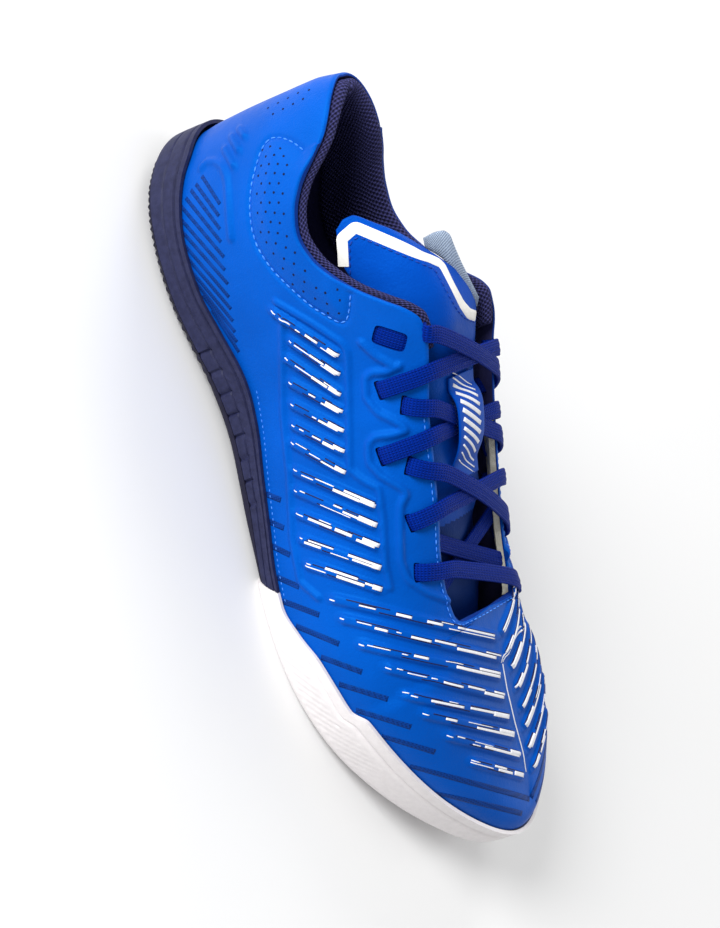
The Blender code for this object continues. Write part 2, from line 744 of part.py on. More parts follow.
def strip(name, start, end, surface, extra=0.0, lift=LACE_LIFT, steps=13):
    """Flat lace strip from one eyelet to another over the throat."""
    width = LACE_WIDTH / 2
    centres = []
    normals = []
    first = -float(opening_side(start[0])) - start[1]
    final = float(opening_side(end[0])) + end[1]
    for part in np.linspace(0, 1, steps):
        share = start[0] + (end[0] - start[0]) * part
        across = first + (final - first) * part
        raised = extra * max(1 - (across / float(opening_side(share))) ** 2, 0.0)
        point, normal = over_throat(share, across, lift + LACE_THICKNESS / 2 + raised)
        centres.append(point)
        normals.append(normal / np.linalg.norm(normal))
    for _ in range(2):
        inner = [(a + b + c) / 3 for a, b, c in zip(normals, normals[1:], normals[2:])]
        normals = [normals[0]] + [n / np.linalg.norm(n) for n in inner] + [normals[-1]]
    loops = []
    for k, (point, normal) in enumerate(zip(centres, normals)):
        ahead = centres[min(k + 1, steps - 1)] - centres[max(k - 1, 0)]
        ahead = ahead / np.linalg.norm(ahead)
        across = np.cross(ahead, normal)
        across = across / np.linalg.norm(across)
        up = np.cross(across, ahead)
        half = LACE_THICKNESS / 2
        corners = ((-1, 0), (-0.8, -1), (0.8, -1), (1, 0), (0.8, 1), (-0.8, 1))
        loops.append([point + across * width * a + up * half * b for a, b in corners])
    return tube(name, loops, surface)


lateral = LATERAL_EYELETS
medial = MEDIAL_EYELETS
lace_bar = strip("lace_bar", lateral[0], medial[0], blue_lace, 0.0, LACE_LIFT - LACE_PRESS)
lace_cross_front = strip("lace_cross_front", lateral[1], medial[2], blue_lace)
second = strip("tool", lateral[2], medial[1], blue_lace, LACE_OVERLAP)
lace_cross_front = boolean(lace_cross_front, second, "UNION")
lace_cross_middle = strip("lace_cross_middle", lateral[3], medial[4], blue_lace, -LACE_DIP)
second = strip("tool", lateral[4], medial[3], blue_lace, LACE_OVERLAP - LACE_DIP)
lace_cross_middle = boolean(lace_cross_middle, second, "UNION")
lace_cross_rear = strip("lace_cross_rear", lateral[5], MEDIAL_CORNER, blue_lace)
second = strip("tool", REAR_CORNER, medial[5], blue_lace, 1.6 * LACE_OVERLAP)
lace_cross_rear = boolean(lace_cross_rear, second, "UNION")

# Eyelet holes through the upper
tool_verts = []
tool_faces = []
for side, eyelets in ((-1, LATERAL_EYELETS), (1, MEDIAL_EYELETS)):
    for share, below in eyelets:
        point, normal, _ = below_edge(turn_at(share), side, below)
        along = np.cross(normal, np.array([0.0, 1.0, 0.0]))
        along = along / np.linalg.norm(along)
        across = np.cross(normal, along)
        first = len(tool_verts)
        for reach in (-0.005, 0.004):
            for k in range(10):
                a = 2 * math.pi * k / 10
                round_off = EYELET_RADIUS * (along * math.cos(a) + across * math.sin(a))
                tool_verts.append(tuple(point + normal * reach + round_off))
        for k in range(10):
            n = (k + 1) % 10
            tool_faces.append([first + k, first + n, first + 10 + n, first + 10 + k])
        tool_faces.append([first + k for k in range(9, -1, -1)])
        tool_faces.append([first + 10 + k for k in range(10)])
upper = boolean(upper, make("eyelet_tool", tool_verts, tool_faces, dark_rubber), "DIFFERENCE")

# Padded collar lining with a rolled top
lining_turn = float(turn_at(LINING_END))
loops = []
for q in np.linspace(-lining_turn, lining_turn, LINING_SECTIONS):
    side = -1 if q < 0 else 1
    turn = abs(q)
    taper = 0.62 + 0.38 * (1 - turn / lining_turn) ** 0.5
    _, _, room = below_edge(turn, side, 0.0)
    short = min(1.0, room / 0.034)
    loop = []
    for depth, inward in LINING_SECTION:
        point, normal, _ = below_edge(turn, side, depth * short if depth > 0 else depth)
        loop.append(point - normal * (LINING_GAP + inward * taper))
    loops.append(loop)
collar_lining = tube("collar_lining", loops, navy_mesh)


# Tongue
tongue_along = column(TONGUE, 0, SOLE_LENGTH)
tongue_sizes = (BALL_WIDTH, INSTEP_HEIGHT, BALL_WIDTH, INSTEP_HEIGHT, INSTEP_HEIGHT)
tongue_curves = [steady_curve(tongue_along, column(TONGUE, k + 1, tongue_sizes[k])) for k in range(5)]
tongue_top = steady_curve(column(TONGUE_TOP, 0), column(TONGUE_TOP, 1, SOLE_LENGTH))
TONGUE_FRONT = TONGUE[-1][0] * SOLE_LENGTH


def tongue_point(across, along):
    """Outer face of the tongue; across runs from -1 lateral to 1 medial."""
    left, left_z, right, right_z, middle_z = [curve(along) for curve in tongue_curves]
    y = (left + right) / 2 + (right - left) / 2 * across
    side_z = np.where(across < 0, left_z, right_z)
    z = middle_z + (side_z - middle_z) * across ** 2
    return np.stack(np.broadcast_arrays(along, y, z), axis=-1)


def tongue_sheet(across_steps, along_steps, depth):
    u = np.linspace(-1, 1, across_steps)[:, None]
    v = np.linspace(0, 1, along_steps)[None, :]
    rear = tongue_top(u)
    x = rear + (TONGUE_FRONT - rear) * v
    face = tongue_point(u + 0 * v, x)
    du = tongue_point(u + 0 * v + 1e-3, x) - tongue_point(u + 0 * v - 1e-3, x)
    dv = tongue_point(u + 0 * v, x + 1e-4) - tongue_point(u + 0 * v, x - 1e-4)
    normal = np.cross(dv, du)
    normal = normal / np.linalg.norm(normal, axis=-1, keepdims=True)
    edge = np.minimum(1, np.minimum((1 - np.abs(u)) * 12, np.minimum(v * 20, (1 - v) * 20)))
    return face - normal * depth * (0.55 + 0.45 * edge)[..., None]


def slab(name, top, bottom, surface):
    n, m = top.shape[:2]
    verts = [tuple(p) for p in top.reshape(-1, 3)] + [tuple(p) for p in bottom.reshape(-1, 3)]
    size = n * m
    faces = []
    for i in range(n - 1):
        for j in range(m - 1):
            a = i * m + j
            quad = [a, a + 1, a + m + 1, a + m]
            faces.append(quad)
            faces.append([v + size for v in quad[::-1]])
    rim_loop = [j for j in range(m)] + [i * m + m - 1 for i in range(1, n)]
    rim_loop += [(n - 1) * m + j for j in range(m - 2, -1, -1)] + [i * m for i in range(n - 2, 0, -1)]
    for a, b in zip(rim_loop, rim_loop[1:] + rim_loop[:1]):
        faces.append([b, a, a + size, b + size])
    return make(name, verts, faces, surface)


tongue = slab("tongue", tongue_sheet(13, 18, 0.0), tongue_sheet(13, 18, TONGUE_THICKNESS), blue_synthetic)

# Loop on the tongue that holds the middle lace crossing
loops = []
for along in np.linspace(LOOP_REAR, LOOP_FRONT, 15):
    bump = LOOP_RISE * (1 - abs((along - LOOP_TOP_AT) / LOOP_REACH) ** 3)
    half = LOOP_WIDTH / 2
    heights = []
    for y in (LOOP_SIDE - half, LOOP_SIDE, LOOP_SIDE + half):
        left, _, right, _, _ = [float(curve(along)) for curve in tongue_curves]
        u = (y - (left + right) / 2) / ((right - left) / 2)
        heights.append(float(tongue_point(np.array(u), np.array(along))[2]))
    z = max(heights) + CLEARANCE + 0.0001 + max(bump, 0.0)
    left, right, top = LOOP_SIDE - half, LOOP_SIDE + half, z + LOOP_THICKNESS
    loops.append([(along, left, z), (along, right, z), (along, right, top), (along, left, top)])
tongue_loop = tube("tongue_loop", loops, blue_synthetic)
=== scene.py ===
# Indoor soccer shoe for the right foot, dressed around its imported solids
import math

import bmesh
import bpy
import numpy as np
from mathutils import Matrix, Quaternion, Vector
from mathutils.bvhtree import BVHTree


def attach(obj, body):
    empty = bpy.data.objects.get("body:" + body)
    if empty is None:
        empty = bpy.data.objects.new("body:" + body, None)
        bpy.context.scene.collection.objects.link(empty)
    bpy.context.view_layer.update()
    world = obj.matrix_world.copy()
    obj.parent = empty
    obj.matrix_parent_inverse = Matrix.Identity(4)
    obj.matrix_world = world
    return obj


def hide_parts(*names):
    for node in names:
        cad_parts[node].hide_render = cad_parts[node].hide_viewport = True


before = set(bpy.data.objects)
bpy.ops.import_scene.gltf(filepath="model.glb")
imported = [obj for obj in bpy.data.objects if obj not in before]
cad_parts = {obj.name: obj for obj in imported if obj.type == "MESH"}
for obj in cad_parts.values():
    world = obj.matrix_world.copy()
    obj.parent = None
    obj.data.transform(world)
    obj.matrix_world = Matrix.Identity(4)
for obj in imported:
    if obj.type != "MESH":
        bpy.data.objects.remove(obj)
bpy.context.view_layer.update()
MM = 0.001

# Driving sizes in metres
SOLE_LENGTH = 0.290
BALL_WIDTH = 0.104
HEEL_HEIGHT = 0.0865
INSTEP_HEIGHT = 0.093
SOLE_HEIGHT = 0.020

# Thicknesses and fits in metres
UPPER_WALL = 0.0022
CLEARANCE = 0.0003
CUP_GAP = 0.00045
RIM_INSET = 0.0008
RIM_WALL = 0.0014
UPPER_INSET = RIM_INSET + RIM_WALL + CUP_GAP
UPPER_TUCK = 0.0012
INSOLE_THICKNESS = 0.0040
TONGUE_THICKNESS = 0.0040
RIDGE_START = 0.008
RIDGE_TRIM = 0.021
LEAN_REACH = 0.30
JOINT_STEP = 0.0016
JOINT_ALONG = 0.162
JOINT_SLANT = 0.85

# share of sole length, then reach from the centre line as shares of ball width
OUTLINE = (
    (0.0, 0.0, 0.0), (0.03, 0.1769, 0.1769), (0.07, 0.2538, 0.2558), (0.13, 0.3135, 0.3115),
    (0.2, 0.3385, 0.3288), (0.28, 0.3308, 0.3125), (0.36, 0.3288, 0.2933), (0.44, 0.3673, 0.3029),
    (0.52, 0.4212, 0.3462), (0.6, 0.475, 0.4087), (0.68, 0.4962, 0.4692), (0.74, 0.4827, 0.4942),
    (0.8, 0.4385, 0.5038), (0.86, 0.3577, 0.4827), (0.91, 0.2635, 0.4269), (0.95, 0.1635, 0.3442),
    (0.98, 0.0692, 0.2442), (1.0, -0.0788, 0.0788),
)
# share of sole length, then heights and edge radius as shares of sole height
SOLE = (
    (0.0, 0.2, 0.65, 1.225, 0.3), (0.03, 0.1, 0.6, 1.19, 0.3), (0.06, 0.025, 0.54, 1.025, 0.29),
    (0.09, 0.0, 0.5, 0.91, 0.28), (0.14, 0.0, 0.475, 0.81, 0.27), (0.2, 0.0, 0.465, 0.79, 0.26),
    (0.26, 0.04, 0.475, 0.88, 0.24), (0.32, 0.11, 0.49, 0.96, 0.21), (0.38, 0.12, 0.46, 0.86, 0.19),
    (0.44, 0.08, 0.4, 0.69, 0.17), (0.5, 0.035, 0.315, 0.56, 0.15), (0.56, 0.01, 0.25, 0.445, 0.13),
    (0.6, 0.0, 0.24, 0.43, 0.12), (0.64, 0.0, 0.26, 0.61, 0.12), (0.68, 0.0, 0.3, 0.85, 0.13),
    (0.72, 0.02, 0.35, 0.95, 0.14), (0.752, 0.05, 0.4, 1.0, 0.15), (0.772, 0.07, 0.43, 1.23, 0.16),
    (0.82, 0.14, 0.51, 1.29, 0.19), (0.88, 0.26, 0.63, 1.32, 0.24), (0.94, 0.42, 0.76, 1.37, 0.28),
    (1.0, 0.6, 0.9, 1.5, 0.3),
)
# share of sole length, height / instep height, sideways / ball width, wall and crown fullness, swell
RIDGE = (
    (0.0, 1.1183, 0.0, 2.0, 2.4, 0.0), (0.07, 1.1183, 0.0, 2.0, 2.4, 0.0),
    (0.13, 1.2903, 0.0, 2.0, 2.4, 0.0), (0.2, 1.5484, 0.0, 2.0, 2.3, 0.0038),
    (0.27, 1.5054, 0.0048, 2.0, 2.2, 0.0192), (0.33, 1.2688, 0.0192, 2.0, 2.1, 0.0923),
    (0.38, 1.1075, 0.0308, 2.0, 2.0, 0.1346), (0.43, 1.0054, 0.0365, 2.0, 2.0, 0.1346),
    (0.5, 0.8925, 0.0385, 2.0, 2.0, 0.1154), (0.58, 0.7796, 0.0385, 2.0, 2.0, 0.0817),
    (0.66, 0.672, 0.0404, 2.0, 2.0, 0.0385), (0.74, 0.5935, 0.0481, 2.1, 2.0, 0.0058),
    (0.8, 0.5484, 0.0577, 2.2, 2.1, 0.0), (0.86, 0.4989, 0.0769, 2.3, 2.1, 0.0),
    (0.915, 0.4516, 0.099, 2.3, 2.2, 0.0), (0.97, 0.4022, 0.1231, 2.3, 2.2, 0.0),
    (1.0, 0.371, 0.1288, 2.3, 2.2, 0.0),
)
# height over the sole rim and forward shift of the heel back, as shares of heel height
BACK_LEAN = (
    (0.0, 0.0139), (0.0925, 0.0081), (0.2312, 0.0081), (0.3468, 0.0104), (0.4624, 0.0127),
    (0.6012, 0.0139), (0.6936, 0.0277), (0.7399, 0.0347), (0.9249, 0.0578), (1.5029, 0.0694),
)
# share of sole length, sideways / ball width, height / instep height, more sideways on the medial side
OPENING = (
    (0.0, 0.0, 0.9247, 0.0), (0.04, 0.1298, 0.914, 0.0), (0.075, 0.1923, 0.8839, 0.0),
    (0.1, 0.2404, 0.8333, 0.0), (0.13, 0.2769, 0.7581, 0.0), (0.16, 0.2942, 0.7097, 0.0),
    (0.19, 0.3038, 0.6903, 0.0), (0.22, 0.3096, 0.7097, 0.0), (0.25, 0.3125, 0.7634, 0.0),
    (0.275, 0.3077, 0.828, 0.0029), (0.3, 0.2885, 0.9086, 0.0173), (0.32, 0.2615, 0.971, 0.0481),
    (0.335, 0.2452, 0.9957, 0.075), (0.35, 0.2365, 0.9914, 0.0923), (0.39, 0.2192, 0.9355, 0.0962),
    (0.45, 0.2163, 0.8495, 0.0865), (0.52, 0.2115, 0.7742, 0.0692), (0.58, 0.2096, 0.7043, 0.0538),
    (0.62, 0.2135, 0.6559, 0.0423), (0.66, 0.2115, 0.6151, 0.0269), (0.69, 0.2058, 0.5978, 0.0192),
    (0.708, 0.1962, 0.5914, 0.0154), (0.717, 0.1769, 0.5892, 0.0135), (0.7235, 0.125, 0.5871, 0.0058),
    (0.7275, 0.0, 0.586, 0.0),
)
# distance from the heel / sole length, edge positions / ball width, heights / instep height
TONGUE = (
    (0.1862, -0.1875, 0.7849, 0.0481, 1.0, 0.8817), (0.2207, -0.1923, 0.7581, 0.0865, 1.0, 0.9355),
    (0.2448, -0.1865, 0.7419, 0.1058, 1.0, 0.9613), (0.2759, -0.1712, 0.7688, 0.125, 1.0, 0.9828),
    (0.3103, -0.1558, 0.8226, 0.1635, 0.9892, 0.9892), (0.3414, -0.1385, 0.8441, 0.1808, 0.9677, 0.9742),
    (0.3724, -0.1327, 0.8333, 0.1981, 0.9086, 0.9333), (0.4069, -0.1558, 0.8108, 0.2173, 0.8333, 0.8817),
    (0.4483, -0.1683, 0.7548, 0.2212, 0.7591, 0.8258), (0.5, -0.1779, 0.7011, 0.2212, 0.6903, 0.7591),
    (0.5517, -0.1885, 0.6473, 0.2327, 0.6323, 0.6989), (0.6034, -0.2, 0.5892, 0.2481, 0.571, 0.6387),
    (0.6552, -0.1779, 0.5419, 0.2356, 0.5333, 0.5785), (0.6897, -0.125, 0.5118, 0.1923, 0.5118, 0.5376),
    (0.7241, -0.0673, 0.4774, 0.1635, 0.4774, 0.4989),
)
# position across from -1 lateral to 1 medial, distance from the heel / sole length
TONGUE_TOP = (
    (-1.0, 0.199), (-0.85, 0.1903), (-0.7, 0.1897), (-0.35, 0.2121), (0.0, 0.2379), (0.35, 0.2638),
    (0.6, 0.2828), (0.8, 0.3017), (1.0, 0.3397),
)


# Curves through the tables
def steady_curve(xs, ys):
    """Piecewise cubic that never overshoots the rows of a table."""
    xs = np.array(xs, float)
    ys = np.array(ys, float)
    step = np.diff(xs)
    slope = np.diff(ys) / step
    lean = np.zeros(len(xs))
    lean[0] = slope[0]
    lean[-1] = slope[-1]
    for i in range(1, len(xs) - 1):
        if slope[i - 1] * slope[i] > 0:
            one = 2 * step[i] + step[i - 1]
            two = step[i] + 2 * step[i - 1]
            lean[i] = (one + two) / (one / slope[i - 1] + two / slope[i])

    def at(x):
        x = np.clip(np.asarray(x, float), xs[0], xs[-1])
        i = np.clip(np.searchsorted(xs, x, side="right") - 1, 0, len(xs) - 2)
        h = step[i]
        t = (x - xs[i]) / h
        rise = (1 + 2 * t) * (1 - t) ** 2 * ys[i] + t * (1 - t) ** 2 * h * lean[i]
        fall = t ** 2 * (3 - 2 * t) * ys[i + 1] + t ** 2 * (t - 1) * h * lean[i + 1]
        return rise + fall
    return at


def smooth_curve(xs, ys):
    """Natural cubic spline through the rows of a table."""
    xs = np.array(xs, float)
    ys = np.array(ys, float)
    n = len(xs)
    h = np.diff(xs)
    matrix = np.zeros((n, n))
    right = np.zeros(n)
    matrix[0, 0] = matrix[-1, -1] = 1
    for i in range(1, n - 1):
        matrix[i, i - 1] = h[i - 1]
        matrix[i, i] = 2 * (h[i - 1] + h[i])
        matrix[i, i + 1] = h[i]
        right[i] = 6 * ((ys[i + 1] - ys[i]) / h[i] - (ys[i] - ys[i - 1]) / h[i - 1])
    bend = np.linalg.solve(matrix, right)

    def at(x):
        x = np.asarray(x, float)
        i = np.clip(np.searchsorted(xs, x, side="right") - 1, 0, n - 2)
        t = x - xs[i]
        u = xs[i + 1] - x
        k = h[i]
        cubic = (bend[i] * u ** 3 + bend[i + 1] * t ** 3) / (6 * k)
        return cubic + (ys[i] / k - bend[i] * k / 6) * u + (ys[i + 1] / k - bend[i + 1] * k / 6) * t
    return at


def column(table, number, size=1.0):
    return [row[number] * size for row in table]


def share_at(turn):
    return (1 - np.cos(np.pi * np.asarray(turn, float))) / 2


def turn_at(share):
    return np.arccos(1 - 2 * np.clip(share, 0, 1)) / np.pi


outline_turns = [float(turn_at(row[0])) for row in OUTLINE]
lateral_reach = smooth_curve(outline_turns, column(OUTLINE, 1, BALL_WIDTH))
medial_reach = smooth_curve(outline_turns, column(OUTLINE, 2, BALL_WIDTH))
bottom_height = steady_curve(column(SOLE, 0), column(SOLE, 1, SOLE_HEIGHT))
floor_height = steady_curve(column(SOLE, 0), column(SOLE, 2, SOLE_HEIGHT))
rim_height = steady_curve(column(SOLE, 0), column(SOLE, 3, SOLE_HEIGHT))
edge_radius = steady_curve(column(SOLE, 0), column(SOLE, 4, SOLE_HEIGHT))
ridge_height = steady_curve(column(RIDGE, 0), column(RIDGE, 1, INSTEP_HEIGHT))
ridge_side = steady_curve(column(RIDGE, 0), column(RIDGE, 2, BALL_WIDTH))
wall_fullness = steady_curve(column(RIDGE, 0), column(RIDGE, 3))
crown_fullness = steady_curve(column(RIDGE, 0), column(RIDGE, 4))
medial_swell = steady_curve(column(RIDGE, 0), column(RIDGE, 5, BALL_WIDTH))
back_lean = steady_curve(column(BACK_LEAN, 0, HEEL_HEIGHT), column(BACK_LEAN, 1, HEEL_HEIGHT))
opening_side = steady_curve(column(OPENING, 0), column(OPENING, 1, BALL_WIDTH))
opening_height = steady_curve(column(OPENING, 0), column(OPENING, 2, INSTEP_HEIGHT))
medial_extra = steady_curve(column(OPENING, 0), column(OPENING, 3, BALL_WIDTH))
OPENING_END = OPENING[-1][0]


# Plan outline of the sole
def outline(turn, side, inset=0.0):
    """Plan points at a turn from heel (0) to toe (1); side is -1 lateral or 1 medial."""
    turn = np.asarray(turn, float)
    reach = lateral_reach if side < 0 else medial_reach

    def place(q):
        return SOLE_LENGTH * share_at(q), side * reach(q)
    x, y = place(turn)
    ahead = place(turn + 1e-4)
    behind = place(turn - 1e-4)
    dx = ahead[0] - behind[0]
    dy = ahead[1] - behind[1]
    size = np.hypot(dx, dy)
    return x + side * dy / size * inset, y - side * dx / size * inset


# Outer skin of the upper
def skin(turn, side, lift):
    """Point of the upper's outer skin; lift runs from 0 at the sole rim to pi/2 at the ridge."""
    turn = np.asarray(turn, float)
    lift = np.asarray(lift, float)
    share = share_at(turn)
    foot_x, foot_y = outline(turn, side, UPPER_INSET)
    base = rim_height(share) - UPPER_TUCK
    ridge_x = RIDGE_START + (SOLE_LENGTH - RIDGE_TRIM) * share
    draw = 1 - np.cos(lift) ** (2 / wall_fullness(share))
    z = base + (ridge_height(share) - base) * np.sin(lift) ** (2 / crown_fullness(share))
    x = foot_x + (ridge_x - foot_x) * draw
    y = foot_y + (ridge_side(share) - foot_y) * draw
    if side > 0:
        y = y + medial_swell(share) * np.sin(2 * lift)
    fade = np.clip(1 - turn / LEAN_REACH, 0, 1) ** 2
    return np.stack(np.broadcast_arrays(x + back_lean(z - base) * fade, y, z), axis=-1)


def opening_lift(turn, side):
    """Lift at which a rib of the upper meets the collar and throat edge."""
    turn = np.atleast_1d(np.asarray(turn, float))
    share = share_at(turn)
    reach_out = opening_side(share) + (medial_extra(share) if side > 0 else 0.0)
    low = np.full(len(turn), 0.02)
    high = np.full(len(turn), math.pi / 2 - 1e-4)
    for _ in range(4):
        steps = low[:, None] + (high - low)[:, None] * np.linspace(0, 1, 61)[None, :]
        rib = skin(turn[:, None], side, steps)
        aside = np.abs(rib[..., 1] - ridge_side(share)[:, None]) - reach_out[:, None]
        above = rib[..., 2] - opening_height(share)[:, None]
        best = np.argmin(aside ** 2 + above ** 2, axis=1)
        pick = steps[np.arange(len(turn)), best]
        reach = (high - low) / 60
        low = np.maximum(pick - reach, 0.02)
        high = np.minimum(pick + reach, math.pi / 2 - 1e-4)
    return np.where(share < OPENING_END - 1e-6, pick, math.pi / 2)


def skin_normal(turn, side, lift):
    """Outward unit normal of the upper's outer skin."""
    turn = np.clip(np.asarray(turn, float), 2e-3, 1 - 2e-3)
    lift = np.clip(np.asarray(lift, float), 0.03, math.pi / 2 - 0.01)
    along = skin(turn + 1e-3, side, lift) - skin(turn - 1e-3, side, lift)
    up = skin(turn, side, lift + 1e-3) - skin(turn, side, lift - 1e-3)
    normal = np.cross(along, up) * -side
    return normal / np.linalg.norm(normal, axis=-1, keepdims=True)


# Side wall of the sole
def side_inset(turn, height):
    """Inset of the sole's outer wall from its widest outline at a height."""
    share = share_at(turn)
    bottom = bottom_height(share)
    radius = edge_radius(share)
    rim = rim_height(share)
    drop = np.clip(radius - (height - bottom), 0, radius)
    under = radius - np.sqrt(np.maximum(radius ** 2 - drop ** 2, 0))
    rise = np.clip((height - bottom - radius) / np.maximum(rim - bottom - radius, 1e-4), 0, 1)
    return under + RIM_INSET * rise ** 1.5


def joint_inset(turn, height):
    """Extra inset low on the rear sole where it runs into the forefoot piece."""
    share = share_at(turn)
    t = np.clip((share - 0.46) / 0.11, 0, 1)
    low = 1 - np.clip((height - bottom_height(share)) / (floor_height(share) - bottom_height(share)), 0, 1)
    return JOINT_STEP * t * t * (3 - 2 * t) * low


FINE_SAMPLES = 4001
sample_turns = np.linspace(0, 1, FINE_SAMPLES)
CENTRE_Y = float(medial_reach(sample_turns).max() - lateral_reach(sample_turns).max()) / 2
CENTRE = np.array([SOLE_LENGTH / 2, CENTRE_Y, 0.0])

# Camera at the photograph's angle, for an image 720 wide and 928 high
VIEW_WIDTH, VIEW_HEIGHT = 720, 928
CAMERA_FOCAL = 2199.62
CAMERA_TURN = (0.748431, 0.3558633, -0.2656251, 0.492601)
CAMERA_PLACE = np.array([0.10027879, -0.64474002, 0.52006406]) - CENTRE
turn_matrix = np.array(Quaternion(CAMERA_TURN).to_matrix())


# Materials
def finish_of(name, colour, roughness, **sockets):
    made = bpy.data.materials.new(name)
    made.use_nodes = True
    made.diffuse_color = (*colour, 1.0)
    shader = made.node_tree.nodes["Principled BSDF"]
    shader.inputs["Base Color"].default_value = (*colour, 1.0)
    shader.inputs["Roughness"].default_value = roughness
    for socket, value in sockets.items():
        shader.inputs[socket.replace("_", " ")].default_value = value
    return made


def node(made, kind, inputs=None, **settings):
    found = made.node_tree.nodes.new("ShaderNode" + kind)
    for key, value in settings.items():
        setattr(found, key, value)
    for key, value in (inputs or {}).items():
        if isinstance(value, bpy.types.NodeSocket):
            made.node_tree.links.new(value, found.inputs[key])
        else:
            found.inputs[key].default_value = value
    return found


def math_node(made, operation, first, second=0.0, third=0.0):
    return node(made, "Math", {0: first, 1: second, 2: third}, operation=operation).outputs[0]


def scaled(made, value, by):
    return math_node(made, "MULTIPLY", value, by)


def added(made, first, second):
    return math_node(made, "ADD", first, second)


def wave(made, value, length=1.0):
    return math_node(made, "SINE", scaled(made, value, 2 * math.pi / length))


def wire(made, socket, value):
    shader = made.node_tree.nodes["Principled BSDF"]
    made.node_tree.links.new(value, shader.inputs[socket])


def bumps(made, layers):
    """Stack of bump layers, each a height socket and its depth in metres."""
    normal = None
    for height, depth in layers:
        inputs = {"Height": height, "Distance": depth, "Strength": 1.0}
        if normal is not None:
            inputs["Normal"] = normal
        normal = node(made, "Bump", inputs).outputs["Normal"]
    wire(made, "Normal", normal)


def noise(made, scale, detail=3.0, rough=0.55):
    place = node(made, "TexCoord").outputs["Object"]
    inputs = {"Vector": place, "Scale": scale, "Detail": detail, "Roughness": rough}
    return node(made, "TexNoise", inputs).outputs["Fac"]


def cells(made, scale, random=1.0, feature="F1"):
    place = node(made, "TexCoord").outputs["Object"]
    inputs = {"Vector": place, "Scale": scale, "Randomness": random}
    return node(made, "TexVoronoi", inputs, feature=feature).outputs["Distance"]


def shades(made, factor, low, high, dark, light):
    """Base colour that runs from dark to light as the factor goes from low to high."""
    span = node(made, "MapRange", {"Value": factor, "From Min": low, "From Max": high}).outputs["Result"]
    mixed = node(made, "Mix", {0: span, 6: (*dark, 1.0), 7: (*light, 1.0)}, data_type="RGBA")
    wire(made, "Base Color", mixed.outputs[2])


def roughness_of(made, factor, low, high):
    span = node(made, "MapRange", {"Value": factor, "To Min": low, "To Max": high})
    wire(made, "Roughness", span.outputs["Result"])


def strand_axes(made):
    split_uv = node(made, "SeparateXYZ", {"Vector": node(made, "TexCoord").outputs["UV"]})
    return split_uv.outputs["X"], split_uv.outputs["Y"]


BLUE_GLOSS = (0.02, 0.42, 1.0, 1.0)


def leather(name, dark, light, roughness):
    made = finish_of(name, light, roughness, Specular_IOR_Level=0.42, Specular_Tint=BLUE_GLOSS)
    shades(made, noise(made, 28.0), 0.35, 0.65, dark, light)
    pebbles = cells(made, 1500.0)
    bumps(made, ((pebbles, 0.00006), (noise(made, 700.0), 0.00008), (noise(made, 120.0), 0.0002)))
    roughness_of(made, noise(made, 260.0), roughness - 0.06, roughness + 0.10)
    return made


def knit(name, dark, light, across, along, depth):
    """Open knit charted from strand coordinates in metres."""
    sheen = {"Sheen_Weight": 0.12, "Sheen_Tint": (0.3, 0.3, 1.0, 1.0)}
    made = finish_of(name, light, 0.85, Specular_IOR_Level=0.15, **sheen)
    u, v = strand_axes(made)
    height = scaled(made, wave(made, u, across), wave(made, v, along))
    fuzz = noise(made, 2600.0, 2.0)
    # Colour runs from dark in the knit's hollows to light on its raised strands: painted shade in the
    # hollows
    shades(made, added(made, height, scaled(made, fuzz, 0.5)), -0.5, 0.9, dark, light)
    bumps(made, ((height, depth), (fuzz, 0.0001)))
    return made


BRAID_RIBS, BRAID_PITCH = 14.0, 0.00115


def braid(name, dark, light):
    """Flat tubular braid; strand coordinates are a share across and metres along."""
    made = finish_of(name, light, 0.62, Specular_IOR_Level=0.30, Specular_Tint=(0.02, 0.30, 1.0, 1.0))
    u, v = strand_axes(made)
    rib = math_node(made, "PINGPONG", scaled(made, u, BRAID_RIBS), 1.0)
    twill = wave(made, added(made, scaled(made, v, 1 / BRAID_PITCH), scaled(made, rib, 0.5)))
    fine = noise(made, 3500.0, 2.0)
    height = added(made, scaled(made, twill, 0.5), rib)
    # Colour darker in the braid's grooves and lighter on its ridges: painted shade and painted highlight
    shades(made, added(made, height, fine), -0.1, 1.9, dark, light)
    bumps(made, ((height, 0.00022), (fine, 0.0001)))
    return made


def rubber(name, dark, light, roughness, depth):
    made = finish_of(name, light, roughness, Specular_IOR_Level=0.25)
    shades(made, noise(made, 420.0, 4.0), 0.3, 0.7, dark, light)
    bumps(made, ((cells(made, 2300.0), depth), (noise(made, 900.0), depth)))
    roughness_of(made, noise(made, 90.0), roughness - 0.07, roughness + 0.07)
    return made


def print_ink(name, dark, light, roughness):
    made = finish_of(name, light, roughness, Specular_IOR_Level=0.2)
    shades(made, noise(made, 900.0), 0.3, 0.7, dark, light)
    bumps(made, ((noise(made, 1800.0), 0.00005),))
    return made


blue = leather("upper_leather", (0.0004, 0.067, 0.40), (0.0006, 0.080, 0.47), 0.46)
tongue_blue = leather("tongue_leather", (0.0006, 0.050, 0.38), (0.0008, 0.060, 0.44), 0.50)
# Darker copy of the upper's blue: painted shade on the folded edges of the upper and the tongue's rim
edge_shade_blue = leather("folded_edge_painted_shade", (0.001, 0.020, 0.20), (0.002, 0.028, 0.26), 0.60)
# Darker blue for the front of the tongue deep in the throat: painted shade
tongue_front_shade = leather("tongue_front_painted_shade", (0.0006, 0.014, 0.14), (0.0008, 0.020, 0.19), 0.60)
